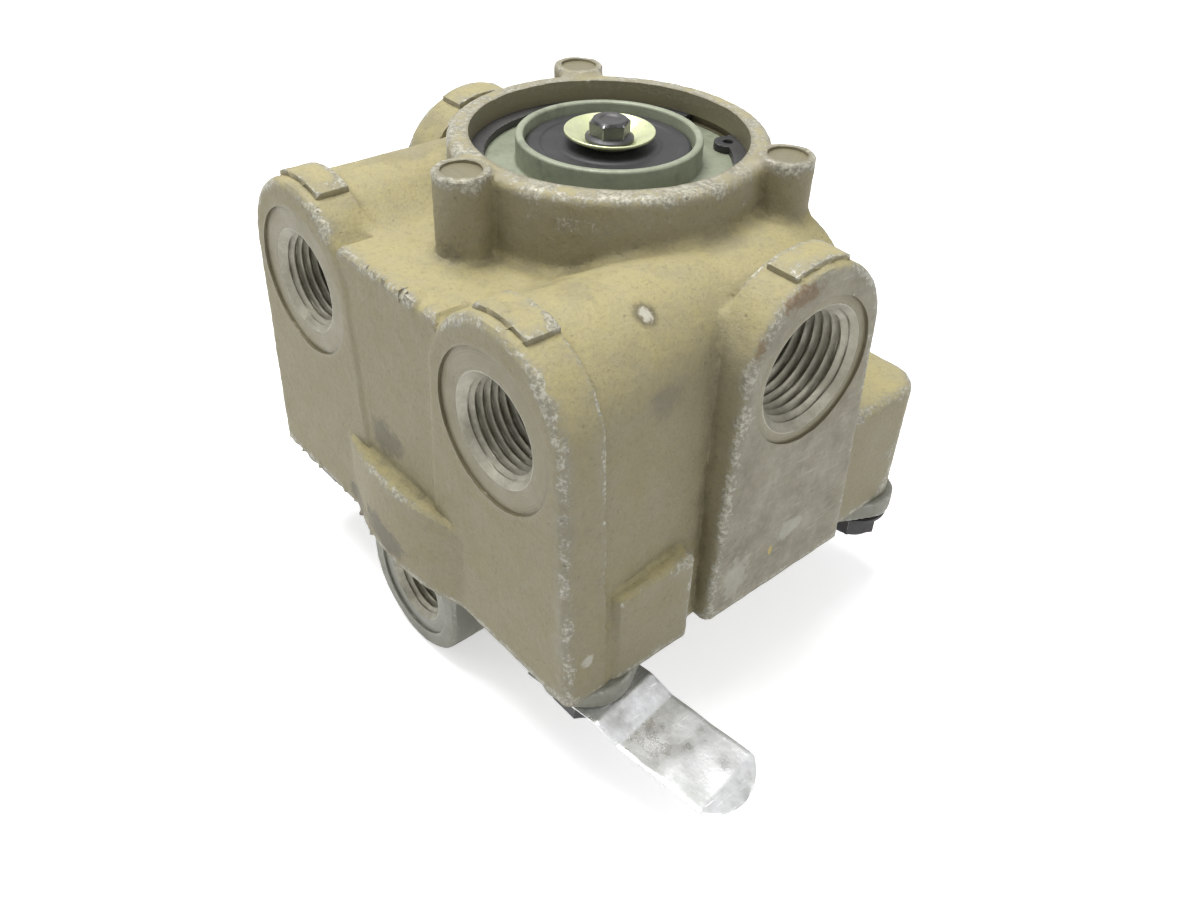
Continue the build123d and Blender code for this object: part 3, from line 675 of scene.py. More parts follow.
def new_group(
    name: str, inputs: dict[str, tuple[str, float]], outputs: tuple[str, ...]
) -> tuple[bpy.types.NodeTree, Graph, bpy.types.Node, bpy.types.Node]:
    """Makes an empty shader node group with its sockets.

    Args:
        name: Name of the group.
        inputs: Kind and default of each input.
        outputs: Names of the outputs, all numbers.

    Returns:
        The group, its graph, its input node and its output node.
    """
    tree = bpy.data.node_groups.new(name, "ShaderNodeTree")
    for key, (kind, default) in inputs.items():
        socket = tree.interface.new_socket(key, in_out="INPUT", socket_type=kind)
        if kind == "NodeSocketFloat":
            socket.default_value = default
    for key in outputs:
        tree.interface.new_socket(key, in_out="OUTPUT", socket_type="NodeSocketFloat")
    graph = Graph(tree)
    return tree, graph, graph.add("NodeGroupInput"), graph.add("NodeGroupOutput")


class EffectLibrary:
    """Node groups for the effects that several finishes share, each built once."""

    def __init__(self) -> None:
        """Builds every group."""
        self.mottle = self._mottle()
        self.cast_grain = self._cast_grain()
        self.worn_edges = self._worn_edges()
        self.hollow_dirt_and_shade = self._hollow_dirt_and_shade()
        self.hairlines = self._hairlines()
        self.turning_marks = self._turning_marks()

    def _mottle(self) -> bpy.types.NodeTree:
        """Soft uneven patches: two noises of different size, multiplied and spread to 0..1."""
        tree, graph, given, result = new_group(
            "mottle",
            {
                "Vector": ("NodeSocketVector", 0.0),
                "Scale": ("NodeSocketFloat", 60.0),
                "Contrast": ("NodeSocketFloat", 1.0),
            },
            ("Mask",),
        )
        large = graph.noise(given.outputs["Vector"], given.outputs["Scale"], 4.0, 0.6)
        fine_scale = graph.value("MULTIPLY", given.outputs["Scale"], 5.3)
        fine = graph.noise(given.outputs["Vector"], fine_scale, 3.0, 0.6)
        total = graph.value("ADD", graph.value("MULTIPLY", large, 0.7), graph.value("MULTIPLY", fine, 0.3))
        centred = graph.value("SUBTRACT", total, 0.5)
        spread = graph.value("MULTIPLY", centred, graph.value("MULTIPLY", given.outputs["Contrast"], 4.0))
        graph.feed(result.inputs["Mask"], graph.value("ADD", spread, 0.5, clamp=True))
        return tree

    def _cast_grain(self) -> bpy.types.NodeTree:
        """Height of a cast skin: close grain with a few wider pits in it."""
        tree, graph, given, result = new_group(
            "cast_grain",
            {"Vector": ("NodeSocketVector", 0.0), "Scale": ("NodeSocketFloat", 1500.0)},
            ("Height", "Pits"),
        )
        grain = graph.noise(given.outputs["Vector"], given.outputs["Scale"], 4.0, 0.62)
        pit_scale = graph.value("MULTIPLY", given.outputs["Scale"], 0.42)
        spots = graph.add("ShaderNodeTexVoronoi", {"Vector": given.outputs["Vector"], "Scale": pit_scale})
        rare = graph.noise(given.outputs["Vector"], graph.value("MULTIPLY", given.outputs["Scale"], 0.11), 2.0)
        depth = graph.value("MULTIPLY", graph.ramp(spots.outputs[0], 0.26, 0.04), graph.ramp(rare, 0.54, 0.7))
        graph.feed(result.inputs["Height"], graph.value("SUBTRACT", grain, graph.value("MULTIPLY", depth, 0.8)))
        graph.feed(result.inputs["Pits"], depth)
        return tree

    def _worn_edges(self) -> bpy.types.NodeTree:
        """Where a coating is rubbed off: the edge value with noise laid over it, cut at a level."""
        tree, graph, given, result = new_group(
            "worn_edges",
            {
                "Vector": ("NodeSocketVector", 0.0),
                "Edge": ("NodeSocketFloat", 0.0),
                "Scale": ("NodeSocketFloat", 600.0),
                "Level": ("NodeSocketFloat", 0.5),
                "Uneven": ("NodeSocketFloat", 1.0),
            },
            ("Mask", "Soft"),
        )
        coarse = graph.noise(given.outputs["Vector"], given.outputs["Scale"], 5.0, 0.7)
        wide = graph.noise(given.outputs["Vector"], graph.value("MULTIPLY", given.outputs["Scale"], 0.16), 3.0)
        uneven = graph.value("SUBTRACT", graph.value("ADD", coarse, wide), 1.0)
        shifted = graph.value("MULTIPLY", uneven, given.outputs["Uneven"])
        total = graph.value("ADD", given.outputs["Edge"], shifted)
        past = graph.value("SUBTRACT", total, given.outputs["Level"])
        graph.feed(result.inputs["Mask"], graph.ramp(past, -0.06, 0.10))
        graph.feed(result.inputs["Soft"], graph.ramp(past, -0.45, 0.25))
        return tree

    def _hollow_dirt_and_shade(self) -> bpy.types.NodeTree:
        """Dirt and painted shade in the corners: the hollow value, broken up by noise."""
        tree, graph, given, result = new_group(
            "hollow_dirt_and_shade",
            {
                "Vector": ("NodeSocketVector", 0.0),
                "Hollow": ("NodeSocketFloat", 0.0),
                "Scale": ("NodeSocketFloat", 260.0),
                "Amount": ("NodeSocketFloat", 1.0),
            },
            ("Mask",),
        )
        broken = graph.noise(given.outputs["Vector"], given.outputs["Scale"], 6.0, 0.7)
        inside = graph.value("MULTIPLY", graph.ramp(given.outputs["Hollow"], 0.05, 0.6), graph.ramp(broken, 0.38, 0.62))
        graph.feed(result.inputs["Mask"], graph.value("MULTIPLY", inside, given.outputs["Amount"], clamp=True))
        return tree

    def _hairlines(self) -> bpy.types.NodeTree:
        """Thin scratches: three noises that are each drawn out along another direction."""
        tree, graph, given, result = new_group(
            "hairlines",
            {"Vector": ("NodeSocketVector", 0.0), "Scale": ("NodeSocketFloat", 300.0)},
            ("Mask",),
        )
        total: Any = 0.0
        for turn, thin in (((0.3, 0.2, 0.5), 9.0), ((1.1, 0.7, 2.0), 12.0), ((0.4, 1.9, 1.2), 15.0)):
            mapped = graph.add(
                "ShaderNodeMapping",
                {"Vector": given.outputs["Vector"], "Rotation": turn, "Scale": (thin, 1.0, thin)},
            )
            streak = graph.noise(mapped.outputs[0], given.outputs["Scale"], 2.0, 0.5)
            line = graph.ramp(streak, 0.68, 0.74)
            total = graph.value("MAXIMUM", line, total)
        graph.feed(result.inputs["Mask"], total)
        return tree

    def _turning_marks(self) -> bpy.types.NodeTree:
        """Rings of a turned face: noise along the distance from the axis alone."""
        tree, graph, given, result = new_group(
            "turning_marks",
            {"Radius": ("NodeSocketFloat", 0.0), "Scale": ("NodeSocketFloat", 3.0)},
            ("Height",),
        )
        line = graph.add("ShaderNodeCombineXYZ", {"X": given.outputs["Radius"]})
        graph.feed(result.inputs["Height"], graph.noise(line.outputs[0], given.outputs["Scale"], 4.0, 0.75))
        return tree


class Axis(Enum):
    """Upright axis that turning marks run round, or none."""

    UPRIGHT = (1.0, 1.0, 0.0)
    NONE = (0.0, 0.0, 0.0)


@dataclass(frozen=True)
class Finish:
    """A bare, plated or moulded surface that needs no knowledge of its piece."""

    name: str
    base: Colour
    patch: Colour
    metallic: float = 0.0
    roughness: float = 0.5
    patch_roughness: float = 0.6
    mottle_scale: float = 70.0
    contrast: float = 1.0
    grain_scale: float = 2200.0
    grain_depth: float = 0.00004
    worn: Colour | None = None
    worn_level: float = 0.25
    worn_roughness: float = 0.35
    scratches: float = 0.0
    turning: float = 0.0
    turning_scale: float = 3000.0
    dirt: Colour = (0.05, 0.045, 0.035)
    dirt_amount: float = 0.25
    coat: float = 0.0
    specular: float = 0.5

    def make(self, effects: EffectLibrary) -> bpy.types.Material:
        """Builds the material.

        Args:
            effects: The shared node groups.

        Returns:
            The material.
        """
        material = bpy.data.materials.new(self.name)
        material.use_nodes = True
        material.node_tree.nodes.clear()
        graph = Graph(material.node_tree)
        place = graph.add("ShaderNodeTexCoord").outputs["Object"]
        patches = graph.group(
            effects.mottle, {"Vector": place, "Scale": self.mottle_scale, "Contrast": self.contrast}
        ).outputs["Mask"]
        colour = graph.mix(patches, self.base, self.patch)
        rough = graph.between(patches, self.roughness, self.patch_roughness)
        grain = graph.group(effects.cast_grain, {"Vector": place, "Scale": self.grain_scale})
        height = graph.value("MULTIPLY", grain.outputs["Height"], 1.0)
        smudge = graph.noise(place, 190.0, 6.0, 0.65)
        dirty = graph.value("MULTIPLY", graph.ramp(smudge, 0.5, 0.72), self.dirt_amount)
        colour = graph.mix(dirty, colour, self.dirt)
        if self.scratches:
            lines = graph.group(effects.hairlines, {"Vector": place, "Scale": 260.0}).outputs["Mask"]
            amount = graph.value("MULTIPLY", lines, self.scratches)
            bright = tuple(min(1.0, 1.5 * c + 0.05) for c in self.base)
            colour = graph.mix(amount, colour, bright)
            height = graph.value("SUBTRACT", height, amount)
        if self.worn:
            edge = graph.value("MULTIPLY", graph.attribute("edge"), 4.0)
            rubbed = graph.group(
                effects.worn_edges,
                {"Vector": place, "Edge": edge, "Scale": 900.0, "Level": self.worn_level, "Uneven": 0.8},
            ).outputs["Mask"]
            colour = graph.mix(rubbed, colour, self.worn)
            rough = graph.between(rubbed, rough, self.worn_roughness)
        if self.turning:
            flat = graph.add("ShaderNodeVectorMath", {0: place, 1: Axis.UPRIGHT.value}, operation="MULTIPLY")
            away = graph.add("ShaderNodeVectorMath", {0: flat.outputs[0]}, operation="LENGTH")
            rings = graph.group(
                effects.turning_marks, {"Radius": away.outputs["Value"], "Scale": self.turning_scale}
            ).outputs["Height"]
            height = graph.value("ADD", height, graph.value("MULTIPLY", rings, self.turning))
        bump = graph.add("ShaderNodeBump", {"Height": height, "Distance": self.grain_depth, "Strength": 1.0})
        shader = graph.add(
            "ShaderNodeBsdfPrincipled",
            {
                "Base Color": colour,
                "Metallic": self.metallic,
                "Roughness": rough,
                "Coat Weight": self.coat,
                "Coat Roughness": 0.25,
                "Specular IOR Level": self.specular,
                "Normal": bump.outputs[0],
            },
        )
        graph.add("ShaderNodeOutputMaterial", {"Surface": shader.outputs[0]})
        return material


@dataclass(frozen=True)
class Mark:
    """A stain, scuff, scratch or patch of painted shade at one place of a surface, with a ragged outline."""

    place: tuple[float, float, float]
    reach: tuple[float, float, float]
    colour: Colour
    strength: float
    ragged: float = 0.5
    scale: float = 500.0

    def lay_over(self, graph: Graph, place: bpy.types.NodeSocket, colour: Any) -> Any:
        """Puts the mark over a colour.

        Args:
            graph: Material's graph.
            place: Object coordinates.
            colour: Colour socket below the mark.

        Returns:
            Colour socket with the mark.
        """
        centre = tuple(c * MM for c in self.place)
        spread = tuple(1.0 / (r * MM) for r in self.reach)
        moved = graph.add("ShaderNodeVectorMath", {0: place, 1: centre}, operation="SUBTRACT")
        scaled = graph.add("ShaderNodeVectorMath", {0: moved.outputs[0], 1: spread}, operation="MULTIPLY")
        away = graph.add("ShaderNodeVectorMath", {0: scaled.outputs[0]}, operation="LENGTH").outputs["Value"]
        torn = graph.value("SUBTRACT", graph.noise(place, self.scale, 5.0, 0.7), 0.5)
        away = graph.value("ADD", away, graph.value("MULTIPLY", torn, 4.0 * self.ragged))
        mask = graph.value("MULTIPLY", graph.ramp(away, 1.0, 0.45), self.strength)
        return graph.mix(mask, colour, self.colour)


@dataclass(frozen=True)
class ChromatedCasting:
    """Cast aluminium with a thin olive coat, rubbed to bare metal on its edges and bare faces.

    It reads what the casting stores for each point: edge and hollow, how far a face is bare,
    whether it is a machined cut, and the distance from the axis that the cut was turned round.
    """

    name: str
    # Coat colours: the top one holds painted light and the side one painted shade, besides the coat's own tone
    coat_top_with_painted_light: Colour
    coat_side_with_painted_shade: Colour
    coat_thin: Colour
    coat_dull: Colour
    metal: Colour
    metal_dark: Colour
    bare_light: Colour
    bare_dark: Colour
    machined: Colour
    edge_grey: Colour
    # Colour of dirt, also used for painted shade in the hollows
    dirt: Colour
    marks: tuple[Mark, ...] = ()
    edge_level: float = 0.6
    grain_depth: float = 0.00015
    metal_share: float = 0.3

    def make(self, effects: EffectLibrary) -> bpy.types.Material:
        """Builds the material.

        Args:
            effects: The shared node groups.

        Returns:
            The material.
        """
        material = bpy.data.materials.new(self.name)
        material.use_nodes = True
        material.node_tree.nodes.clear()
        graph = Graph(material.node_tree)
        place = graph.add("ShaderNodeTexCoord").outputs["Object"]
        colour = self._coat(graph, effects, place)
        edge, bare = graph.attribute("edge"), graph.attribute("bare")
        hollow, cut = graph.attribute("hollow"), graph.attribute("cut")
        metal_patch = graph.group(effects.mottle, {"Vector": place, "Scale": 150.0, "Contrast": 1.0}).outputs[0]
        lines = graph.group(effects.hairlines, {"Vector": place, "Scale": 150.0}).outputs["Mask"]
        dull_metal = graph.mix(metal_patch, self.bare_dark, self.bare_light)
        dull_metal = graph.mix(graph.value("MULTIPLY", lines, 0.35), dull_metal, self.metal)
        breakup = graph.group(effects.mottle, {"Vector": place, "Scale": 90.0, "Contrast": 0.8}).outputs[0]
        stripped = graph.ramp(graph.value("ADD", bare, graph.value("MULTIPLY", breakup, 0.5)), 0.45, 1.0)
        colour = graph.mix(stripped, colour, dull_metal)
        rubbed = graph.group(
            effects.worn_edges,
            {"Vector": place, "Edge": edge, "Scale": 1500.0, "Level": self.edge_level, "Uneven": 1.15},
        )
        worn = graph.value("MULTIPLY", rubbed.outputs["Mask"], 0.75)
        thin = rubbed.outputs["Soft"]
        colour = graph.mix(graph.value("MULTIPLY", thin, 0.65), colour, self.edge_grey)
        speckle = graph.ramp(graph.noise(place, 1300.0, 4.0, 0.7), 0.40, 0.62)
        metal = graph.mix(speckle, self.metal_dark, self.metal)
        colour = graph.mix(worn, colour, metal)
        for mark in self.marks:
            colour = mark.lay_over(graph, place, colour)
        turning = graph.attribute("turning")
        rings = graph.group(effects.turning_marks, {"Radius": turning, "Scale": 2.2}).outputs["Height"]
        ring_tone = graph.ramp(rings, 0.32, 0.68)
        turned_face = graph.mix(ring_tone, tuple(0.8 * c for c in self.machined), self.machined)
        colour = graph.mix(graph.value("MULTIPLY", cut, 0.85), colour, turned_face)
        # Dirt and painted shade: hollows and corners are darkened towards the dirt colour
        dirt = graph.group(
            effects.hollow_dirt_and_shade, {"Vector": place, "Hollow": hollow, "Scale": 160.0, "Amount": 0.32}
        ).outputs["Mask"]
        colour = graph.mix(dirt, colour, self.dirt)
        grain = graph.group(effects.cast_grain, {"Vector": place, "Scale": 1500.0})
        colour = graph.mix(graph.value("MULTIPLY", grain.outputs["Pits"], 0.35), colour, self.dirt)
        shiny = graph.value("MAXIMUM", worn, cut)
        grain_part = graph.value("SUBTRACT", 1.0, graph.value("MULTIPLY", cut, 0.8))
        height = graph.value("MULTIPLY", grain.outputs["Height"], grain_part)
        height = graph.value("ADD", height, graph.value("MULTIPLY", graph.value("MULTIPLY", rings, cut), 0.5))
        height = graph.value("SUBTRACT", height, graph.value("MULTIPLY", worn, 0.25))
        bump = graph.add("ShaderNodeBump", {"Height": height, "Distance": self.grain_depth, "Strength": 1.0})
        rough_patch = graph.between(metal_patch, 0.5, 0.34)
        shader = graph.add(
            "ShaderNodeBsdfPrincipled",
            {
                "Base Color": colour,
                "Metallic": graph.value("MULTIPLY", shiny, self.metal_share),
                "Roughness": graph.between(shiny, 0.62, rough_patch),
                "Specular IOR Level": 0.35,
                "Normal": bump.outputs[0],
            },
        )
        graph.add("ShaderNodeOutputMaterial", {"Surface": shader.outputs[0]})
        return material

    def _coat(self, graph: Graph, effects: EffectLibrary, place: bpy.types.NodeSocket) -> Any:
        """Colour of the coat: painted light on faces that look up and painted shade down the sides, with a yellower
        tone on top and a browner, duller one on the sides, in patches.
        """
        facing = graph.add("ShaderNodeNewGeometry").outputs["Normal"]
        up = graph.add("ShaderNodeSeparateXYZ", {0: facing}).outputs["Z"]
        wide = graph.group(effects.mottle, {"Vector": place, "Scale": 46.0, "Contrast": 1.1}).outputs["Mask"]
        close = graph.group(effects.mottle, {"Vector": place, "Scale": 210.0, "Contrast": 1.0}).outputs["Mask"]
        # Painted light and shade: the normal's height picks the lighter top colour for faces that look up and the
        # darker side colour for the rest
        lean = graph.value("ADD", up, graph.value("MULTIPLY", graph.value("SUBTRACT", wide, 0.5), 0.7))
        colour = graph.mix(graph.ramp(lean, -0.1, 0.75), self.coat_side_with_painted_shade, self.coat_top_with_painted_light)
        dull = graph.value("MULTIPLY", graph.ramp(wide, 0.35, 0.95), 0.55)
        colour = graph.mix(dull, colour, self.coat_dull)
        speckle = graph.value("MULTIPLY", close, 0.35)
        colour = graph.mix(speckle, colour, self.coat_thin)
        sand = graph.noise(place, 1300.0, 5.0, 0.8)
        dark = graph.value("MULTIPLY", graph.ramp(sand, 0.5, 0.3), 0.4)
        colour = graph.mix(dark, colour, tuple(0.62 * c for c in self.coat_dull))
        light = graph.value("MULTIPLY", graph.ramp(sand, 0.56, 0.74), 0.35)
        return graph.mix(light, colour, tuple(min(1.0, 1.25 * c) for c in self.coat_top_with_painted_light))


# Castings


@dataclass(frozen=True)
class Port:
    """A tapped port: a face cut, a chamfered mouth, a tapped bore and the passage behind it."""

    thread_radius: float
    thread_depth: float
    mouth_radius: float
    face_radius: float
    passage_radius: float
    passage_length: float
    pitch: float
    face_depth: float = 0.5
    sleeve_wall: float = 0.12

    def cut(self, radial: Array, depth: Array) -> Array:
        """Distance to what the port takes out of the casting.

        Args:
            radial: Distance from the port's axis.
            depth: Depth behind the outer face.

        Returns:
            Distance, negative in the hollow.
        """
        face = tube(radial, depth, self.face_radius, -5.0, self.face_depth)
        bore = tube(radial, depth, self.mouth_radius + self.sleeve_wall, -5.0, self.thread_depth)
        passage = tube(radial, depth, self.passage_radius, -5.0, self.passage_length)
        return np.minimum(np.minimum(face, bore), passage)


class CastSurface:
    """A casting that is given by a rough outer shape and the cuts made in it."""

    grid: Contour
    skin: Ripple
    waves: Ripple

    def rough(self, x: Array, y: Array, z: Array) -> Array:
        """Distance to the casting before any cut."""
        raise NotImplementedError

    def cuts(self, x: Array, y: Array, z: Array) -> Array:
        """Distance to everything that is machined away."""
        raise NotImplementedError

    def shape(self, x: Array, y: Array, z: Array) -> Array:
        """Distance to the finished casting: the rough shape without the cuts."""
        return np.maximum(self.rough(x, y, z), -self.cuts(x, y, z))

    def bend(self, points: Array, reach: float) -> Array:
        """How convex the casting is round each point.

        Formula: the mean of the distances at six points round it, less its own, over the reach.

        Args:
            points: Points on the surface.
            reach: How far away the six points are.

        Returns:
            Positive numbers on outer edges and negative ones in corners.
        """
        total = -6.0 * self.shape(*points.T)
        for step in np.vstack((np.eye(3), -np.eye(3))) * reach:
            total += self.shape(*(points + step).T)
        return total / reach


@dataclass
class BodyCasting(CastSurface):
    """The cast body: bowl over the piston, webs, four port columns, lugs and exhaust collar."""

    joint_z: float
    front_reach: float = 46.3
    side_reach: float = 47.5
    rear_reach: float = 44.0
    height: float = 70.8
    deck_height: float = 57.6
    shelf_height: float = 18.5
    bowl_radius: float = 43.0
    bowl_height: float = 26.0
    neck_radius: float = 31.0
    draft: float = 3.0
    front_port_offset: float = 27.9
    front_port_height: float = 44.9
    front_arch_radius: float = 16.5
    front_arch_rise: float = 1.9
    front_column_depth: float = 8.0
    side_port_offset: float = 3.0
    side_port_height: float = 45.6
    side_arch_radius: float = 15.8
    side_arch_rise: float = 2.6
    side_column_depth: float = 8.6
    front_port: Port = field(default_factory=lambda: Port(8.55, 15.0, 9.4, 13.5, 6.0, 20.8, 25.4 / 18))
    side_port: Port = field(default_factory=lambda: Port(10.55, 17.0, 11.4, 13.2, 8.0, 38.0, 25.4 / 14))
    drop_radius: float = 5.0
    drop_reach: float = 28.0
    drop_floor: float = 14.5
    web_front_radius: float = 15.5
    web_rear_radius: float = 12.6
    web_ridge: float = 62.4
    web_draft: float = 4.0
    web_rear_end: float = 18.8
    cross_web_radius: float = 14.9
    cross_web_drop: float = 0.9
    front_web_recess: float = 0.4
    bulge_radius: float = 49.5
    ledge_reach: float = 47.2
    ledge_front: float = -36.6
    ledge_rear: float = -19.5
    pad_length: float = 12.4
    pad_width: float = 6.0
    pad_height: float = 0.9
    front_pad_setback: float = 2.0
    side_pad_setback: float = 1.6
    lug_side_reach: float = 45.3
    lug_front: float = 19.0
    lug_inner: float = 26.0
    lug_corner: float = 7.0
    collar_radius: float = 27.5
    boss_radius: float = 4.6
    boss_circle: float = 30.4
    boss_rise: float = 0.8
    boss_recess_radius: float = 3.3
    boss_recess_depth: float = 0.4
    exhaust_radius: float = 23.8
    exhaust_floor: float = 59.5
    groove_low: float = 65.6
    groove_high: float = 67.0
    groove_depth: float = 1.3
    supply_radius: float = 19.0
    supply_floor: float = 33.0
    seat_radius: float = 10.0
    seat_width: float = 1.4
    seat_height: float = 1.0
    delivery_radius: float = 30.0
    delivery_ceiling: float = 27.0
    piston_radius: float = 36.0
    piston_depth: float = 20.0
    bolt_offset: float = 40.0
    bolt_front: float = -36.5
    bolt_rear: float = 37.0
    bolt_hole_radius: float = 3.05
    bolt_hole_depth: float = 15.0
    edge_round: float = 1.6
    skin: Ripple = Ripple(2.6, 11)
    waves: Ripple = Ripple(11.0, 5)
    grid: Contour = Contour(0.75, (0.0, 0.45, 0.0))

    def rough(self, x: Array, y: Array, z: Array) -> Array:
        """Distance to the casting before any cut, mirrored about X = 0."""
        side, h = np.abs(x), z - self.joint_z
        radial = np.hypot(x, y)
        mass = self._deck(side, y, h)
        mass = either(mass, self._rear_web(side, y, h), 3.0)
        mass = either(mass, self._cross_web(side, y, h), 3.0)
        mass = either(mass, self._bowl(side, y, h), 1.5)
        collar = both(radial - self.collar_radius, slab(h, self.bowl_height, self.height), 1.5)
        mass = either(mass, collar, 1.8)
        mass = either(mass, self._bosses(x, y, h), 1.4)
        ledge = both(slab(y, self.ledge_front, self.ledge_rear), h - self.shelf_height, 0.7)
        mass = either(mass, both(ledge, side - self.ledge_reach, 1.4), 0.9)
        bulge = both(radial - self.bulge_radius, h - self.shelf_height, 1.0)
        inside = np.maximum(side - self.front_port_offset, y)
        mass = either(mass, np.maximum(bulge, inside), 0.7)
        columns = np.minimum(self._front_column(side, y, h), self._side_column(side, y, h))
        upper = either(mass, columns, 1.3)
        lower = either(mass, columns, 0.4)
        share = eased(h, self.deck_height - 3.0, self.deck_height - 0.5)
        mass = lower + (upper - lower) * share
        mass = np.minimum(mass, self._pads(side, y, h))
        mass = mass - 0.06 * self.waves(x, y, z) - 0.035 * self.skin(x, y, z)
        mass = self._blemishes(mass, x, y, h)
        return np.maximum(mass, -h)

    def _deck(self, side: Array, y: Array, h: Array) -> Array:
        """Block under the deck: neck and web in one plan outline, and the front web's skin."""
        column_back = self.front_column_depth - self.front_reach
        block = both(side - self.front_port_offset, slab(y, column_back - 1.0, 0.0))
        plan = either(np.hypot(side, y) - self.neck_radius, block, 3.0)
        skin = both(side - self.front_port_offset / 2.0, slab(y, self.front_web_recess - self.front_reach, -20.0))
        return np.minimum(both(plan, h - self.deck_height, 1.0), both(skin, h - self.deck_height, 1.3))

    def _rear_web(self, side: Array, y: Array, h: Array) -> Array:
        """Arch-shaped web behind a front column, whose radius falls towards the rear."""
        column_back = self.front_column_depth - self.front_reach
        rear = self.side_port_offset - self.side_arch_radius
        share = np.clip((y - column_back) / (rear - column_back), 0.0, 1.0)
        radius = self.web_front_radius + (self.web_rear_radius - self.web_front_radius) * share
        face = arch(side - self.front_port_offset, h - self.web_ridge + radius, radius, self.web_draft)
        return both(face, slab(y, column_back - 1.0, self.web_rear_end), 2.0)

    def _cross_web(self, side: Array, y: Array, h: Array) -> Array:
        """Arch-shaped web from a side column in to the neck."""
        centre = self.web_ridge - self.cross_web_drop - self.cross_web_radius
        face = arch(y - self.side_port_offset, h - centre, self.cross_web_radius, self.draft)
        return np.maximum(face, slab(side, self.neck_radius / 2, self.side_reach - self.side_column_depth + 1.0))

    def _bowl(self, side: Array, y: Array, h: Array) -> Array:
        """Bowl over the piston and the two rear corner lugs, in one plan outline."""
        lugs = both(
            slab(side, self.lug_inner, self.lug_side_reach),
            slab(y, self.lug_front, self.rear_reach),
            self.lug_corner / 2,
        )
        corner = both(side - self.lug_side_reach, y - self.rear_reach, self.lug_corner)
        plan = either(np.hypot(side, y) - self.bowl_radius, np.maximum(lugs, corner), 3.0)
        return both(plan, h - self.bowl_height, 2.0)

    def _bosses(self, x: Array, y: Array, h: Array) -> Array:
        """Three round bosses beside the collar, at -90, 30 and 150 degrees."""
        turn = math.radians(30.0)
        rear = np.hypot(
            np.abs(x) - self.boss_circle * math.cos(turn), y - self.boss_circle * math.sin(turn)
        )
        radial = np.minimum(np.hypot(x, y + self.boss_circle), rear)
        span = slab(h, self.bowl_height, self.height + self.boss_rise)
        return both(radial - self.boss_radius, span, 0.5)

    def _front_column(self, side: Array, y: Array, h: Array) -> Array:
        """Column of a smaller port, with a rounded front edge."""
        centre = self.front_port_height + self.front_arch_rise
        face = arch(side - self.front_port_offset, h - centre, self.front_arch_radius, self.draft)
        back = y - self.front_column_depth + self.front_reach
        return np.maximum(both(face, -self.front_reach - y, self.edge_round), back)

    def _side_column(self, side: Array, y: Array, h: Array) -> Array:
        """Column of a larger port, with a rounded outer edge."""
        centre = self.side_port_height + self.side_arch_rise
        face = arch(y - self.side_port_offset, h - centre, self.side_arch_radius, self.draft)
        back = self.side_reach - self.side_column_depth - side
        return np.maximum(both(face, side - self.side_reach, self.edge_round), back)

    def _pads(self, side: Array, y: Array, h: Array) -> Array:
        """Raised pads on the four arches."""
        front_centre = self.front_port_height + self.front_arch_rise
        u, v = side - self.front_port_offset, h - front_centre
        depth = y + self.front_reach - self.front_pad_setback
        band = both(np.hypot(u, v) - self.front_arch_radius - self.pad_height, np.abs(u) - self.pad_length / 2, 0.3)
        front = both(np.maximum(band, -v), slab(depth, 0.0, self.pad_width), 0.3)
        side_centre = self.side_port_height + self.side_arch_rise
        u, v = y - self.side_port_offset, h - side_centre
        depth = self.side_reach - self.side_pad_setback - side
        band = both(np.hypot(u, v) - self.side_arch_radius - self.pad_height, np.abs(u) - self.pad_length / 2, 0.3)
        rear = both(np.maximum(band, -v), slab(depth, 0.0, self.pad_width), 0.3)
        return np.minimum(front, rear)

    def _blemishes(self, mass: Array, x: Array, y: Array, h: Array) -> Array:
        """Flash along the front web, a notch beside it and torn lower edges."""
        near_lip = np.exp(-(((y + self.front_reach - 0.8) / 1.2) ** 2) - ((h - self.deck_height) / 1.4) ** 2)
        along = eased(x, -12.0, -6.0) * (1.0 - eased(x, 9.0, 11.0))
        ragged = np.maximum(self.skin(2.0 * x, 0.0 * y, 0.0 * h) + 0.25, 0.0)
        mass = mass - 0.4 * near_lip * along * ragged
        notch = np.exp(-(((x - 9.4) / 0.9) ** 2) - ((y + self.front_reach - 0.8) / 1.6) ** 2)
        mass = mass + 0.9 * notch * np.exp(-(((h - self.deck_height) / 1.6) ** 2))
        foot = np.exp(-((h / 1.3) ** 2)) * eased(-y, 30.0, 40.0) * (1.0 - eased(x, 10.0, 20.0))
        return mass - 0.4 * foot * np.maximum(self.skin(1.4 * x, 1.4 * y, 0.3 * h), -0.2)

    def port_places(self, x: Array, y: Array, z: Array) -> tuple[Array, Array, Array, Array]:
        """Distance from the nearest front and side port axis, and the depth behind each face."""
        side, h = np.abs(x), z - self.joint_z
        front = np.hypot(side - self.front_port_offset, h - self.front_port_height)
        rear = np.hypot(y - self.side_port_offset, h - self.side_port_height)
        return front, y + self.front_reach, rear, self.side_reach - side

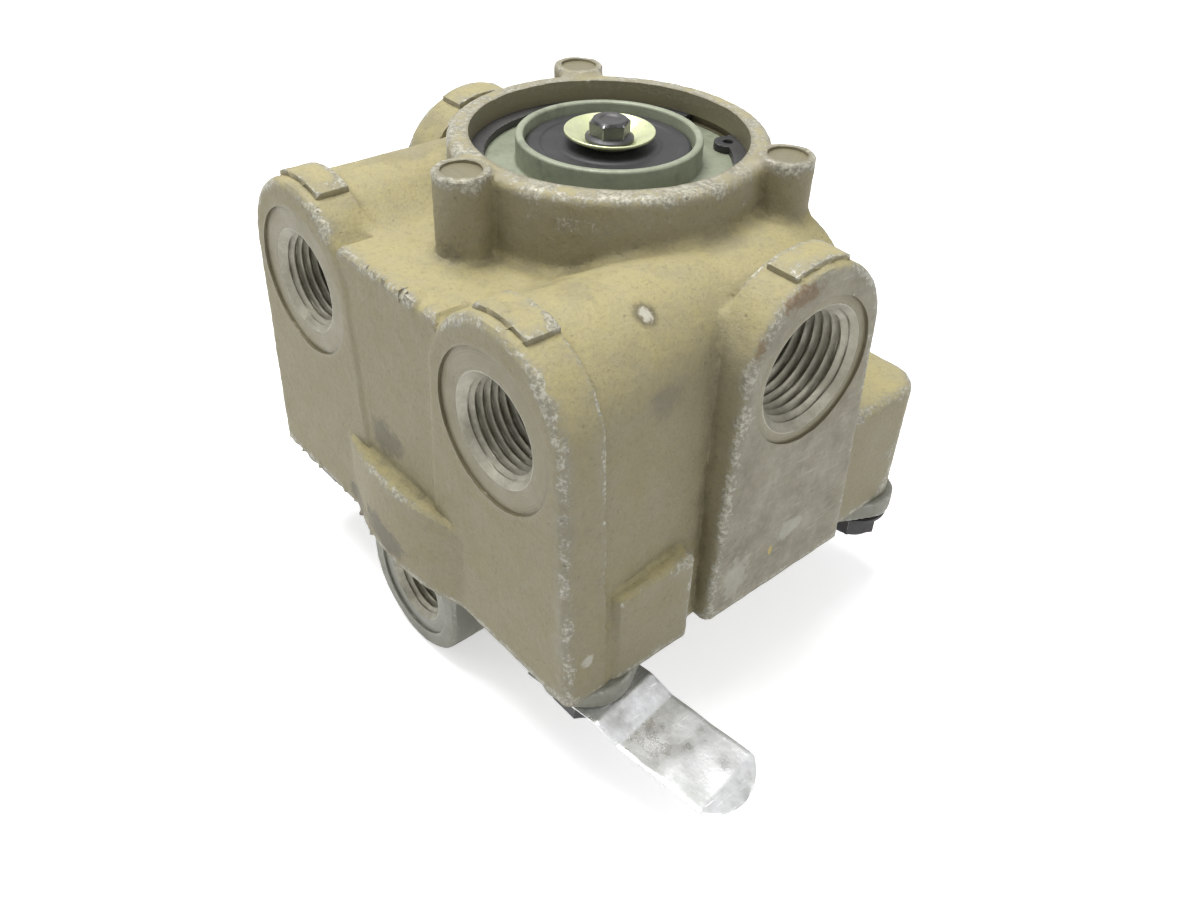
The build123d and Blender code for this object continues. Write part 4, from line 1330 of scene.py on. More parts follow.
    def cuts(self, x: Array, y: Array, z: Array) -> Array:
        """Distance to the ports, passages, bores and tapped holes."""
        side, h = np.abs(x), z - self.joint_z
        front, front_depth, rear, rear_depth = self.port_places(x, y, z)
        cut = np.minimum(self.front_port.cut(front, front_depth), self.side_port.cut(rear, rear_depth))
        drop = np.hypot(side - self.front_port_offset, y + self.drop_reach)
        top = self.front_port_height + self.front_port.passage_radius / 2
        cut = np.minimum(cut, tube(drop, h, self.drop_radius, self.drop_floor, top))
        cut = np.minimum(cut, self._bores(np.hypot(x, y), h))
        for reach in (self.bolt_front, self.bolt_rear):
            hole = np.hypot(side - self.bolt_offset, y - reach)
            cut = np.minimum(cut, tube(hole, h, self.bolt_hole_radius, -5.0, self.bolt_hole_depth))
        turn = math.radians(30.0)
        boss = np.hypot(side - self.boss_circle * math.cos(turn), y - self.boss_circle * math.sin(turn))
        boss = np.minimum(boss, np.hypot(x, y + self.boss_circle))
        rim = self.height + self.boss_rise
        return np.minimum(cut, tube(boss, h, self.boss_recess_radius, rim - self.boss_recess_depth, rim + 5.0))

    def _bores(self, radial: Array, h: Array) -> Array:
        """Stepped main bore, with the snap ring's groove and the lip of the inlet seat."""
        top = self.height + 10.0
        steps = (
            (self.piston_radius, -5.0, self.piston_depth),
            (self.delivery_radius, self.piston_depth - 1.0, self.delivery_ceiling),
            (self.seat_radius, self.delivery_ceiling - 1.0, self.supply_floor + 2.0),
            (self.supply_radius, self.supply_floor, self.exhaust_floor + 1.0),
            (self.exhaust_radius, self.exhaust_floor, top),
            (self.exhaust_radius + self.groove_depth, self.groove_low, self.groove_high),
        )
        cut = tube(radial, h, *steps[0])
        for step in steps[1:]:
            cut = np.minimum(cut, tube(radial, h, *step))
        lip = np.maximum(
            slab(radial, self.seat_radius, self.seat_radius + self.seat_width),
            h - self.supply_floor - self.seat_height,
        )
        return np.maximum(cut, -lip)

    def make(self, material: bpy.types.Material) -> bpy.types.Object:
        """Builds the casting and stores what its finish reads.

        Args:
            material: The coated finish.

        Returns:
            The body, as one closed object.
        """
        reach = max(self.side_reach, self.bulge_radius) + 1.0
        low = np.array([-reach, -reach - 1.0, self.joint_z])
        high = np.array([reach, self.rear_reach + 1.0, self.joint_z + self.height + self.boss_rise])
        grid = Contour(self.grid.cell, (0.0, 0.45, self.joint_z + self.height + 0.6))
        piece = grid.build(self.shape, low, high).to_object("body_casting", material, weld=False)
        thin_out(piece, 190_000)
        self._note(piece.data)
        return piece

    def _note(self, mesh: bpy.types.Mesh) -> None:
        """Stores edge, hollow, bare, cut and turning for each point of the mesh."""
        points = mesh_points(mesh)
        x, y, z = points.T
        h = z - self.joint_z
        machined = np.abs(self.cuts(x, y, z)) < 0.05
        machined |= h < 0.05
        close, wide = self.bend(points, 0.9), self.bend(points, 3.0)
        write_attribute(mesh, "edge", np.clip(0.12 * close + 0.38 * wide, -1.0, 0.8))
        write_attribute(mesh, "hollow", np.clip(-0.35 * close - 0.3 * wide, 0.0, 1.0))
        side_face = eased(np.abs(x), self.side_reach - 0.9, self.side_reach - 0.2)
        side_face *= np.abs(y - self.side_port_offset) < self.side_arch_radius + 6.0
        rim = eased(h, self.height - 1.2, self.height - 0.2) * (np.hypot(x, y) < self.boss_circle + 6)
        corner = np.exp(-(((x - 44.6) / 2.6) ** 2) - ((y + 45.6) / 2.2) ** 2)
        bare = 0.75 * side_face + 0.35 * rim + 0.5 * corner
        write_attribute(mesh, "bare", bare)
        write_attribute(mesh, "cut", machined.astype(float))
        front, front_depth, rear, rear_depth = self.port_places(x, y, z)
        at_front = (front_depth < 2.0) & (front < self.front_port.face_radius + 6.0)
        at_side = (rear_depth < 2.0) & (rear < self.side_port.face_radius + 6.0)
        turning = np.where(at_front, front, np.where(at_side, rear, np.hypot(x, y)))
        write_attribute(mesh, "turning", turning)


def thin_out(piece: bpy.types.Object, most: int) -> None:
    """Collapses the flattest parts of a mesh until it has at most so many triangles.

    Args:
        piece: Object whose mesh is thinned.
        most: Largest number of triangles.
    """
    triangles = sum(len(p.vertices) - 2 for p in piece.data.polygons)
    if triangles <= most:
        return
    modifier = piece.modifiers.new("thin", "DECIMATE")
    modifier.ratio = most / triangles
    apply_modifiers(piece)
    shade(piece.data, 32.0)


@dataclass
class CoverCasting(CastSurface):
    """The cast cover: flange with four ears, dome and control port boss."""

    joint_z: float
    bolt_places: list[tuple[float, float]]
    flange_thickness: float = 3.8
    flange_radius: float = 43.0
    ear_radius: float = 8.3
    rear_ear_radius: float = 7.0
    ear_root_radius: float = 16.0
    dome_radius: float = 30.0
    dome_wall: float = 5.0
    dome_floor: float = 5.0
    boss_radius: float = 14.0
    boss_reach: float = 46.0
    boss_height: float = 14.3
    port: Port = field(default_factory=lambda: Port(6.85, 15.0, 7.7, 10.5, 4.0, 31.0, 25.4 / 18))
    seal_radius: float = 39.0
    seal_width: float = 2.6
    seal_depth: float = 1.3
    hole_radius: float = 3.3
    skin: Ripple = Ripple(2.4, 23)
    waves: Ripple = Ripple(9.0, 29)
    grid: Contour = Contour(0.75, (0.0, 0.0, -0.55))

    def rough(self, x: Array, y: Array, z: Array) -> Array:
        """Distance to the casting before any cut."""
        foot = self.joint_z - self.flange_thickness
        plan = np.hypot(x, y) - self.flange_radius
        for place in self.bolt_places:
            plan = np.minimum(plan, self._ear(x, y, *place))
        mass = both(plan, slab(z, foot, self.joint_z), 0.7)
        dome = both(np.hypot(x, y) - self.dome_radius, -z, 5.0)
        dome = np.maximum(dome, z - self.joint_z + 1.0)
        mass = either(mass, dome, 2.0)
        upper = np.where(z > self.boss_height, np.abs(x), np.hypot(x, z - self.boss_height))
        boss = both(upper - self.boss_radius, slab(y, -self.boss_reach, 0.0), 1.2)
        boss = np.maximum(boss, z - self.joint_z + 0.8)
        mass = either(mass, np.maximum(boss, -z + self.boss_height - self.boss_radius), 1.6)
        mass = mass - 0.05 * self.waves(x, y, z) - 0.03 * self.skin(x, y, z)
        return np.maximum(np.maximum(mass, z - self.joint_z), -z)

    def _ear(self, x: Array, y: Array, ear_x: float, ear_y: float) -> Array:
        """Outline round two circles, the wide one half way out and the small one at the bolt.

        Formula: with p along the line from the wide circle and q beside it, the straight sides
        touch both circles at the slope (R - r) / length.
        """
        reach = math.hypot(ear_x, ear_y)
        along = (x * ear_x + y * ear_y) / reach - reach / 2.0
        beside = np.abs(y * ear_x - x * ear_y) / reach
        length = reach / 2.0
        ear_radius = self.ear_radius if ear_y < 0.0 else self.rear_ear_radius
        lean = (self.ear_root_radius - ear_radius) / length
        level = math.sqrt(1.0 - lean * lean)
        station = level * along - lean * beside
        on_side = lean * along + level * beside - self.ear_root_radius
        at_end = np.hypot(along - length, beside) - ear_radius
        at_root = np.hypot(along, beside) - self.ear_root_radius
        return np.where(station < 0.0, at_root, np.where(station > level * length, at_end, on_side))

    def cuts(self, x: Array, y: Array, z: Array) -> Array:
        """Distance to the chamber, the control port, the seal groove and the bolt holes."""
        radial = np.hypot(x, y)
        cut = tube(radial, z, self.dome_radius - self.dome_wall, self.dome_floor, self.joint_z + 5.0)
        port = self.port.cut(np.hypot(x, z - self.boss_height), y + self.boss_reach)
        groove = np.maximum(
            np.abs(radial - self.seal_radius) - self.seal_width / 2.0,
            self.joint_z - self.seal_depth - z,
        )
        cut = np.minimum(np.minimum(cut, port), groove)
        for ear_x, ear_y in self.bolt_places:
            cut = np.minimum(cut, np.hypot(x - ear_x, y - ear_y) - self.hole_radius)
        return cut

    def make(self, material: bpy.types.Material) -> bpy.types.Object:
        """Builds the cover as one closed object."""
        reach = max(abs(x) for x, _ in self.bolt_places) + self.ear_radius + 1.0
        low = np.array([-reach, -reach, 0.0])
        high = np.array([reach, reach, self.joint_z])
        piece = self.grid.build(self.shape, low, high).to_object("cover_casting", material, weld=False)
        thin_out(piece, 110_000)
        points = mesh_points(piece.data)
        x, y, z = points.T
        close = self.bend(points, 0.9)
        write_attribute(piece.data, "edge", np.clip(0.55 * close, -1.0, 1.4))
        write_attribute(piece.data, "hollow", np.clip(-0.4 * close, 0.0, 1.0))
        machined = (np.abs(self.cuts(x, y, z)) < 0.05) | (z > self.joint_z - 0.05)
        write_attribute(piece.data, "bare", np.full(len(points), 0.45))
        write_attribute(piece.data, "cut", machined.astype(float))
        boss = np.hypot(x, z - self.boss_height)
        write_attribute(piece.data, "turning", np.where(y < -self.dome_radius, boss, np.hypot(x, y)))
        return piece


@dataclass(frozen=True)
class ThreadSleeve:
    """The tapped wall of a port, with a real taper thread and the chamfer at its mouth."""

    port: Port
    mouth: tuple[float, float, float]
    inward: tuple[float, float, float]
    height: float = 0.9
    taper: float = 1.0 / 32.0
    around: int = 96
    per_turn: int = 9

    def shell(self) -> Shell:
        """Closed wall between the thread and the casting.

        Formula: at depth s and angle a the wall lies at R - s * taper + height * (|2 t - 1| - 1),
        with t the fraction of s / pitch + a / 2 pi, but not inside the cone of the mouth.
        """
        port = self.port
        start, end = port.face_depth + 0.03, port.thread_depth + 0.04
        steps = int((end - start) / port.pitch * self.per_turn)
        depth = np.linspace(start, end, steps)[:, None]
        angle = np.arange(self.around)[None, :] * 2.0 * math.pi / self.around
        turn = np.mod(depth / port.pitch + angle / (2.0 * math.pi), 1.0)
        wave = np.clip(np.abs(2.0 * turn - 1.0), 0.1, 0.9) - 0.9
        radius = port.thread_radius - depth * self.taper + self.height * wave
        radius = np.maximum(radius, port.mouth_radius - (depth - port.face_depth))
        outer = np.full_like(radius[:2], port.mouth_radius + port.sleeve_wall + 0.08)
        radius = np.vstack((np.minimum(radius, outer[0] - 0.05), outer))
        depth = np.vstack((np.repeat(depth, self.around, axis=1), np.full((1, self.around), end)))
        depth = np.vstack((depth, np.full((1, self.around), start)))
        inward = np.array(self.inward)
        side = np.cross(inward, (0.0, 0.0, 1.0))
        angle = np.repeat(angle, len(radius), axis=0)
        ring = np.cos(angle)[..., None] * side + np.sin(angle)[..., None] * np.array((0.0, 0.0, 1.0))
        grid = np.array(self.mouth) + depth[..., None] * inward + radius[..., None] * ring
        return Shell(grid.reshape(-1, 3), grid_faces(len(radius), self.around, True, True))


# Small pieces


@dataclass(frozen=True)
class Assembly:
    """Heights that the small pieces share, in millimetres above the standing surface."""

    joint_z: float
    seat: float = 33.0
    exhaust: float = 59.5
    rim: float = 70.8
    flange: float = 3.8
    exhaust_radius: float = 23.8

    @property
    def insert_z(self) -> float:
        """Underside of the exhaust insert."""
        return self.joint_z + self.exhaust

    @property
    def rim_z(self) -> float:
        """Top of the exhaust collar."""
        return self.joint_z + self.rim

    @property
    def seat_z(self) -> float:
        """Inlet seat that the valve rubber closes on."""
        return self.joint_z + self.seat + 1.0

    @property
    def ear_z(self) -> float:
        """Underside of the cover's ears."""
        return self.joint_z - self.flange


def seal_ring(inner: float, outer: float, foot: float, height: float) -> Shell:
    """Rubber ring of rounded section.

    Args:
        inner: Inner radius.
        outer: Outer radius.
        foot: Height of its underside.
        height: Height of the section.

    Returns:
        The closed ring.
    """
    corners = [(inner, foot), (outer, foot), (outer, foot + height), (inner, foot + height)]
    return turned(softened(corners, 0.4 * min(outer - inner, height), 6), True)


@dataclass(frozen=True)
class ValveInside:
    """Piston, inlet valve and the seals round them."""

    at: Assembly
    piston_radius: float = 35.8
    bore_radius: float = 36.0
    thickness: float = 9.0
    web: float = 4.0
    rim_width: float = 6.5
    stem_radius: float = 8.4
    stem_root: float = 12.0
    stem_bore: float = 6.8
    tube_radius: float = 8.0
    tube_bore: float = 5.6
    tube_length: float = 19.5
    flange_radius: float = 13.4
    rubber: float = 2.2

    def piston(self) -> Shell:
        """Relay piston with the groove for its ring and the stem that carries the seat."""
        foot = self.at.joint_z + 0.3
        top, groove = foot + self.thickness, foot + (self.thickness - 3.0) / 2.0
        radius, bottom = self.piston_radius, self.piston_radius - 2.2
        stem = self.at.seat_z + 0.02 - 1.5 - 0.02
        profile = [
            (0.0, foot), (radius, foot), (radius, groove), (bottom, groove), (bottom, groove + 3.0),
            (radius, groove + 3.0), (radius, top), (radius - self.rim_width, top),
            (radius - self.rim_width, foot + self.web), (self.stem_root, foot + self.web),
            (self.stem_radius, top), (self.stem_radius, stem), (self.stem_bore, stem),
            (self.stem_bore, stem - 5.0), (0.0, stem - 5.0),
        ]  # fmt: skip
        return turned(softened(profile, 0.4, 4, closed=False), False)

    def piston_seal(self) -> Shell:
        """Ring in the piston's groove."""
        foot = self.at.joint_z + 0.3 + (self.thickness - 3.0) / 2.0
        return seal_ring(self.piston_radius - 2.15, self.bore_radius - 0.05, foot + 0.05, 2.9)

    def tube(self) -> Shell:
        """Valve tube with its flange, open right through."""
        foot = self.at.seat_z + 0.02 + self.rubber
        top = foot + 2.0 + self.tube_length
        profile = [
            (self.tube_bore, foot), (self.flange_radius, foot), (self.flange_radius, foot + 2.0),
            (self.tube_radius, foot + 2.0), (self.tube_radius, top), (self.tube_bore, top),
        ]  # fmt: skip
        return turned(softened(profile, 0.35, 4), True)

    def disc(self) -> Shell:
        """Rubber ring under the flange."""
        return seal_ring(self.tube_bore + 0.2, self.flange_radius - 0.2, self.at.seat_z + 0.02, self.rubber)


@dataclass(frozen=True)
class ExhaustEnd:
    """Everything at the top: insert with its seals, snap ring, flap, washer and screw."""

    at: Assembly
    insert_radius: float = 23.75
    thickness: float = 6.1
    chamber_radius: float = 13.0
    guide_bore: float = 8.06
    guide_radius: float = 10.46
    guide_length: float = 12.5
    plate_top: float = 7.9
    plate_thickness: float = 2.8
    ring_radius: float = 16.0
    ring_wall: float = 1.4
    ring_drop: float = 0.6
    hub_radius: float = 4.2
    screw_hole: float = 2.05
    hole_circle: float = 9.2
    hole_radius: float = 2.5
    groove_high: float = 65.6
    snap_radius: float = 25.0
    snap_inner: float = 21.3
    snap_thickness: float = 1.3
    snap_gap: float = 28.0
    snap_middle: float = 86.0
    lug_radius: float = 2.5
    flap_radius: float = 14.2
    flap_thickness: float = 1.2
    washer_radius: float = 7.8
    washer_flat: float = 4.4
    washer_dish: float = 1.8
    washer_thickness: float = 0.6
    screw_length: float = 6.4
    screw_flange: float = 4.2
    screw_hex: float = 6.2
    screw_head: float = 3.6
    spring_wire: float = 1.4
    spring_turns: int = 5
    seat_ring: float = 0.8
    valve_travel: float = 1.5

    @property
    def flap_z(self) -> float:
        """Top of the seat plate, which the flap lies on."""
        return self.at.insert_z + self.plate_top

    @property
    def washer_z(self) -> float:
        """Top of the washer's flat middle."""
        return self.flap_z + self.flap_thickness + self.washer_thickness

    def insert(self, material: bpy.types.Material) -> bpy.types.Object:
        """Insert disc with its raised ring, seat plate, hub and valve guide, and six holes."""
        base = self.at.insert_z
        guide = [self.guide_length - 2.0, self.guide_length - 3.9, self.guide_length - 5.9, self.guide_length - 7.8]
        plate = base + self.plate_top - self.plate_thickness
        groove = base + (self.thickness - 2.6) / 2.0
        ring_top = self.at.rim_z - self.ring_drop
        inner = self.ring_radius - self.ring_wall
        bore, outer = self.guide_bore, self.insert_radius
        profile = [
            (0.0, plate - 3.0), (self.hub_radius, plate - 3.0), (self.hub_radius, plate),
            (self.chamber_radius, plate), (self.chamber_radius, base + 1.6), (bore, base + 1.6),
            (bore, base - guide[3]), (bore + 1.3, base - guide[3]), (bore + 1.3, base - guide[2]),
            (bore, base - guide[2]), (bore, base - guide[1]), (bore + 1.3, base - guide[1]),
            (bore + 1.3, base - guide[0]), (bore, base - guide[0]), (bore, base - self.guide_length),
            (self.guide_radius, base - self.guide_length), (self.guide_radius, base), (outer, base),
            (outer, groove), (outer - 1.9, groove), (outer - 1.9, groove + 2.6), (outer, groove + 2.6),
            (outer, base + self.thickness), (self.ring_radius, base + self.thickness),
            (self.ring_radius, ring_top), (inner, ring_top), (inner, self.flap_z),
            (self.screw_hole, self.flap_z), (self.screw_hole, base + 3.0), (0.0, base + 3.0),
        ]  # fmt: skip
        piece = turned(softened(profile, 0.45, 4, closed=False), False, 160).to_object("insert", material)
        for step in range(6):
            turn = math.radians(60.0 * step)
            centre = (self.hole_circle * math.cos(turn), self.hole_circle * math.sin(turn))
            bar = [(0.0, plate - 1.0), (self.hole_radius, plate - 1.0), (self.hole_radius, self.flap_z + 1.0), (0.0, self.flap_z + 1.0)]
            tool = turned(np.array(bar), False, 32, centre).to_object("hole", material)
            cut_with(piece, tool)
        shade(piece.data, 32.0)
        return piece

    def seals(self) -> dict[str, Shell]:
        """Seal ring of the insert and the two rings in its guide."""
        base = self.at.insert_z
        outer = self.insert_radius - 1.9
        lower = base - self.guide_length + 2.0
        rings = {"insert_seal": seal_ring(outer + 0.05, 23.75, base + (self.thickness - 2.6) / 2 + 0.05, 2.5)}
        for name, foot in (("lower_guide_seal", lower), ("upper_guide_seal", lower + 3.9)):
            rings[name] = seal_ring(8.05, self.guide_bore + 1.25, foot + 0.05, 1.8)
        return rings

    @property
    def spring_foot(self) -> float:
        """Top of the valve's flange, which the spring stands on."""
        return self.at.seat_z + 0.02 + 2.2 + 2.0

    @property
    def spring_top(self) -> float:
        """Underside of the seat ring."""
        return self.at.insert_z - self.seat_ring

    @property
    def spring_keep(self) -> float:
        """Share of its length that the spring keeps when the valve is fully open."""
        length = self.spring_top - self.spring_foot
        return (length - self.valve_travel) / length

    def spring(self) -> Shell:
        """Coil between the valve's flange and the seat ring, as it stands at rest."""
        wire = self.spring_wire / 2.0
        radius = self.guide_radius + 0.5 + wire
        turn = np.linspace(0.0, 1.0, 36 * self.spring_turns + 1)[:, None]
        angle = 2.0 * math.pi * self.spring_turns * turn
        round_wire = np.linspace(0.0, 2.0 * math.pi, 12, endpoint=False)[None, :]
        away = radius + wire * np.cos(round_wire)
        low, high = self.spring_foot + wire, self.spring_top - wire
        height = low + (high - low) * turn + wire * np.sin(round_wire)
        return swept(np.stack([away * np.cos(angle), away * np.sin(angle), height], axis=-1), True)

    def spring_seat(self) -> Shell:
        """Flat ring over the valve spring."""
        return seal_ring(self.guide_radius + 0.05, self.guide_radius + 3.7, self.at.insert_z - 0.8, 0.8)

    def snap_ring(self) -> Shell:
        """Open ring with a holed lug at each end, with softly rounded edges."""
        foot = self.at.joint_z + self.groove_high + 0.05
        lug_circle = self.snap_inner + self.lug_radius / 4.0
        middle = math.radians(self.snap_middle)
        half_gap = math.radians(self.snap_gap / 2.0)
        lug_turn = half_gap + self.lug_radius / lug_circle

        def shape(x: Array, y: Array, z: Array) -> Array:
            """Distance to the ring."""
            u = x * math.cos(middle) + y * math.sin(middle)
            v = np.abs(y * math.cos(middle) - x * math.sin(middle))
            radial = np.hypot(u, v)
            ring = np.maximum(radial - self.snap_radius, self.snap_inner - radial)
            gap = v * math.cos(half_gap) - u * math.sin(half_gap)
            ring = np.maximum(ring, -gap)
            hub = np.hypot(u - lug_circle * math.cos(lug_turn), v - lug_circle * math.sin(lug_turn))
            plan = np.maximum(np.minimum(ring, hub - self.lug_radius), 0.9 - hub)
            return both(plan, slab(z, foot, foot + self.snap_thickness), 0.2)

        reach = np.array([self.snap_radius + 1.0, self.snap_radius + 1.0, 0.0])
        mesher = Contour(0.325, (0.0, 0.0, foot + 0.16))
        return mesher.build(shape, -reach + (0.0, 0.0, foot), reach + (0.0, 0.0, foot + self.snap_thickness))

    def flap(self) -> Shell:
        """Round rubber flap with a moulded bead near its edge."""
        foot, top, radius = self.flap_z, self.flap_z + self.flap_thickness, self.flap_radius
        profile = [
            (self.screw_hole, foot), (radius, foot), (radius, top - 0.25), (radius - 0.6, top),
            (radius - 2.2, top), (radius - 2.6, top - 0.22), (self.washer_radius + 1.4, top - 0.22),
            (self.washer_radius + 0.9, top), (self.screw_hole, top),
        ]  # fmt: skip
        return turned(softened(profile, 0.3, 5), True, 160)

    def washer(self) -> Shell:
        """Dished washer, pressed up at its edge."""
        foot = self.flap_z + self.flap_thickness
        top, rise = foot + self.washer_thickness, self.washer_dish
        profile = [
            (self.screw_hole, foot), (self.washer_flat, foot), (self.washer_radius, foot + rise),
            (self.washer_radius, top + rise), (self.washer_flat, top), (self.screw_hole, top),
        ]  # fmt: skip
        return turned(softened(profile, 0.28, 5), True, 160)

    def screw(self) -> Shell:
        """Flanged hexagon screw with a shallow dish in its head."""
        foot, head = self.washer_z, self.washer_z + self.screw_head
        wide, flange = self.screw_hex / math.sqrt(3.0) + 0.05, self.screw_flange
        round_part = [
            (0.0, foot - self.screw_length), (1.5, foot - self.screw_length),
            (2.0, foot - self.screw_length + 0.6), (2.0, foot), (flange, foot), (flange, foot + 0.55),
            (wide - 0.1, foot + 0.9),
        ]  # fmt: skip
        hex_part = [
            (wide, foot + 1.0), (wide, head - 0.55), (self.screw_hex / 2.0 - 0.25, head),
            (2.0, head), (1.6, head - 0.3), (0.0, head - 0.35),
        ]  # fmt: skip
        return hex_headed(round_part, hex_part, self.screw_hex, (0.0, 0.0))


def hex_headed(
    round_part: list[tuple[float, float]],
    hex_part: list[tuple[float, float]],
    flats: float,
    centre: tuple[float, float],
) -> Shell:
    """Turned shape whose last stations are cut to a hexagon.

    Args:
        round_part: Radius and height of the round stations.
        hex_part: Radius and height of the stations with six flats.
        flats: Distance across the flats.
        centre: X and Y of the axis.

    Returns:
        The closed shell.
    """
    plain = softened(round_part, 0.12, 3, closed=False)
    hexed = softened(hex_part, 0.12, 3, closed=False)
    limits = np.concatenate((np.full(len(plain), np.inf), np.full(len(hexed), flats)))
    return turned(np.vstack((plain, hexed)), False, 96, centre, limits)


@dataclass(frozen=True)
class CoverBolt:
    """Flanged hexagon bolt that stands head down under an ear, with its split lock washer."""

    centre: tuple[float, float]
    bearing_z: float
    top_z: float
    flats: float = 10.0
    flange: float = 6.6
    head: float = 5.6
    washer_outer: float = 5.8
    washer_inner: float = 3.3
    washer_height: float = 1.0

    def bolt(self) -> Shell:
        """Bolt with a chamfered head, seen from below."""
        base, wide = self.bearing_z, self.flats / math.sqrt(3.0) + 0.05
        round_part = [
            (0.0, self.top_z), (2.4, self.top_z), (3.0, self.top_z - 0.8), (3.0, base),
            (self.flange, base), (self.flange, base - 0.7), (wide - 0.15, base - 1.2),
        ]  # fmt: skip
        foot = base - self.head
        hex_part = [
            (wide, base - 1.4), (wide, foot + 0.8), (self.flats / 2.0 - 0.4, foot),
            (3.2, foot), (2.8, foot + 0.35), (0.0, foot + 0.4),
        ]  # fmt: skip
        return hex_headed(round_part, hex_part, self.flats, self.centre)

    def washer(self) -> Shell:
        """Lock washer that is open at one place."""
        inner, outer, foot = self.washer_inner, self.washer_outer, self.bearing_z
        corners = [(inner, 0.0), (outer, 0.0), (outer, self.washer_height), (inner, self.washer_height)]
        section = softened(corners, 0.15, 3)
        angle = np.linspace(math.radians(6.0), math.radians(354.0), 56)
        x = self.centre[0] + section[None, :, 0] * np.cos(angle)[:, None]
        y = self.centre[1] + section[None, :, 0] * np.sin(angle)[:, None]
        z = np.repeat(foot + section[None, :, 1], len(angle), axis=0)
        return swept(np.stack((x, y, z), axis=-1), True)


@dataclass(frozen=True)
class Tag:
    """Bent strip with a rounded end, clamped under a bolt."""

    hole: tuple[float, float]
    top_z: float
    thickness: float = 0.5
    width: float = 14.6
    reach: float = 34.0
    tail: float = 7.0
    turn: float = 8.0
    bend_radius: float = 2.5
    end_sagitta: float = 3.6
    hole_radius: float = 3.3

    def centre_line(self) -> Array:
        """Side view of the strip's middle: distance from the hole and drop below it."""
        slope, flat, tip = (math.tan(math.radians(a)) for a in (22.0, 3.0, 20.0))
        knee = 8.6 + 5.0 * math.cos(math.radians(22.0))
        knee_drop = -(knee - 8.6) * slope
        tip_start = self.reach - 4.0
        tip_drop = knee_drop - (tip_start - knee) * flat
        corners = [
            (-self.tail, 0.0), (8.6, 0.0), (knee, knee_drop), (tip_start, tip_drop),
            (self.reach, tip_drop - 4.0 * tip),
        ]  # fmt: skip
        line = softened(corners, self.bend_radius, 9, closed=False)
        ends = self.reach - self.end_sagitta * np.linspace(1.0, 0.0, 16) ** 2
        stations = np.unique(np.concatenate((line[:, 0], np.linspace(-self.tail, self.reach - 4, 50), ends)))
        return np.stack((stations, np.interp(stations, line[:, 0], line[:, 1])), axis=-1)

    def shell(self) -> Shell:
        """Closed strip, a thin rounded section carried along its centre line."""
        line = self.centre_line()
        half = self.width / 2.0
        radius = (half**2 + self.end_sagitta**2) / (2.0 * self.end_sagitta)
        past = np.maximum(line[:, 0] - (self.reach - radius), 0.0)
        span = np.minimum(half, np.sqrt(np.maximum(radius**2 - past**2, 0.0004)))
        slope = np.gradient(line[:, 1], line[:, 0])
        along = np.stack((np.ones_like(slope), slope), axis=-1)
        along /= np.linalg.norm(along, axis=1)[:, None]
        thin = self.thickness / 2.0
        corners = [(-1.0, -thin), (1.0, -thin), (1.0, thin), (-1.0, thin)]
        unit = softened(corners, 0.12, 3)
        extra = np.linspace(-0.9, 0.9, 10)
        section = np.vstack((unit, np.stack((extra, np.full(10, thin)), axis=-1)))
        middle = np.mean(section, axis=0)
        order = np.argsort(np.arctan2((section[:, 1] - middle[1]) / thin, section[:, 0] - middle[0]))
        section = section[order]
        stations, places = np.meshgrid(line[:, 0], section[:, 0] * half, indexing="ij")
        wobble = Ripple(9.0, 41)(stations, places, np.zeros_like(stations))
        away = eased(line[:, :1], 12.0, 20.0)
        lift = section[None, :, 1] + 0.12 * wobble * away
        forward = line[:, None, 0] - along[:, None, 1] * lift
        drop = line[:, None, 1] + along[:, None, 0] * lift
        aside = section[None, :, 0] * span[:, None]
        turn = math.radians(self.turn)
        x = self.hole[0] + forward * math.cos(turn) - aside * math.sin(turn)
        y = self.hole[1] + forward * math.sin(turn) + aside * math.cos(turn)
        z = self.top_z - thin + drop
        return swept(np.stack((x, y, z), axis=-1), True)

    def make(self, material: bpy.types.Material) -> bpy.types.Object:
        """Strip with its bolt hole."""
        piece = self.shell().to_object("tag", material)
        bar = np.array([(0.0, -3.0), (self.hole_radius, -3.0), (self.hole_radius, 3.0), (0.0, 3.0)])
        bar[:, 1] += self.top_z
        cut_with(piece, turned(bar, False, 48, self.hole).to_object("tag_hole", material))
        shade(piece.data, 32.0)
        return piece


# Finishes

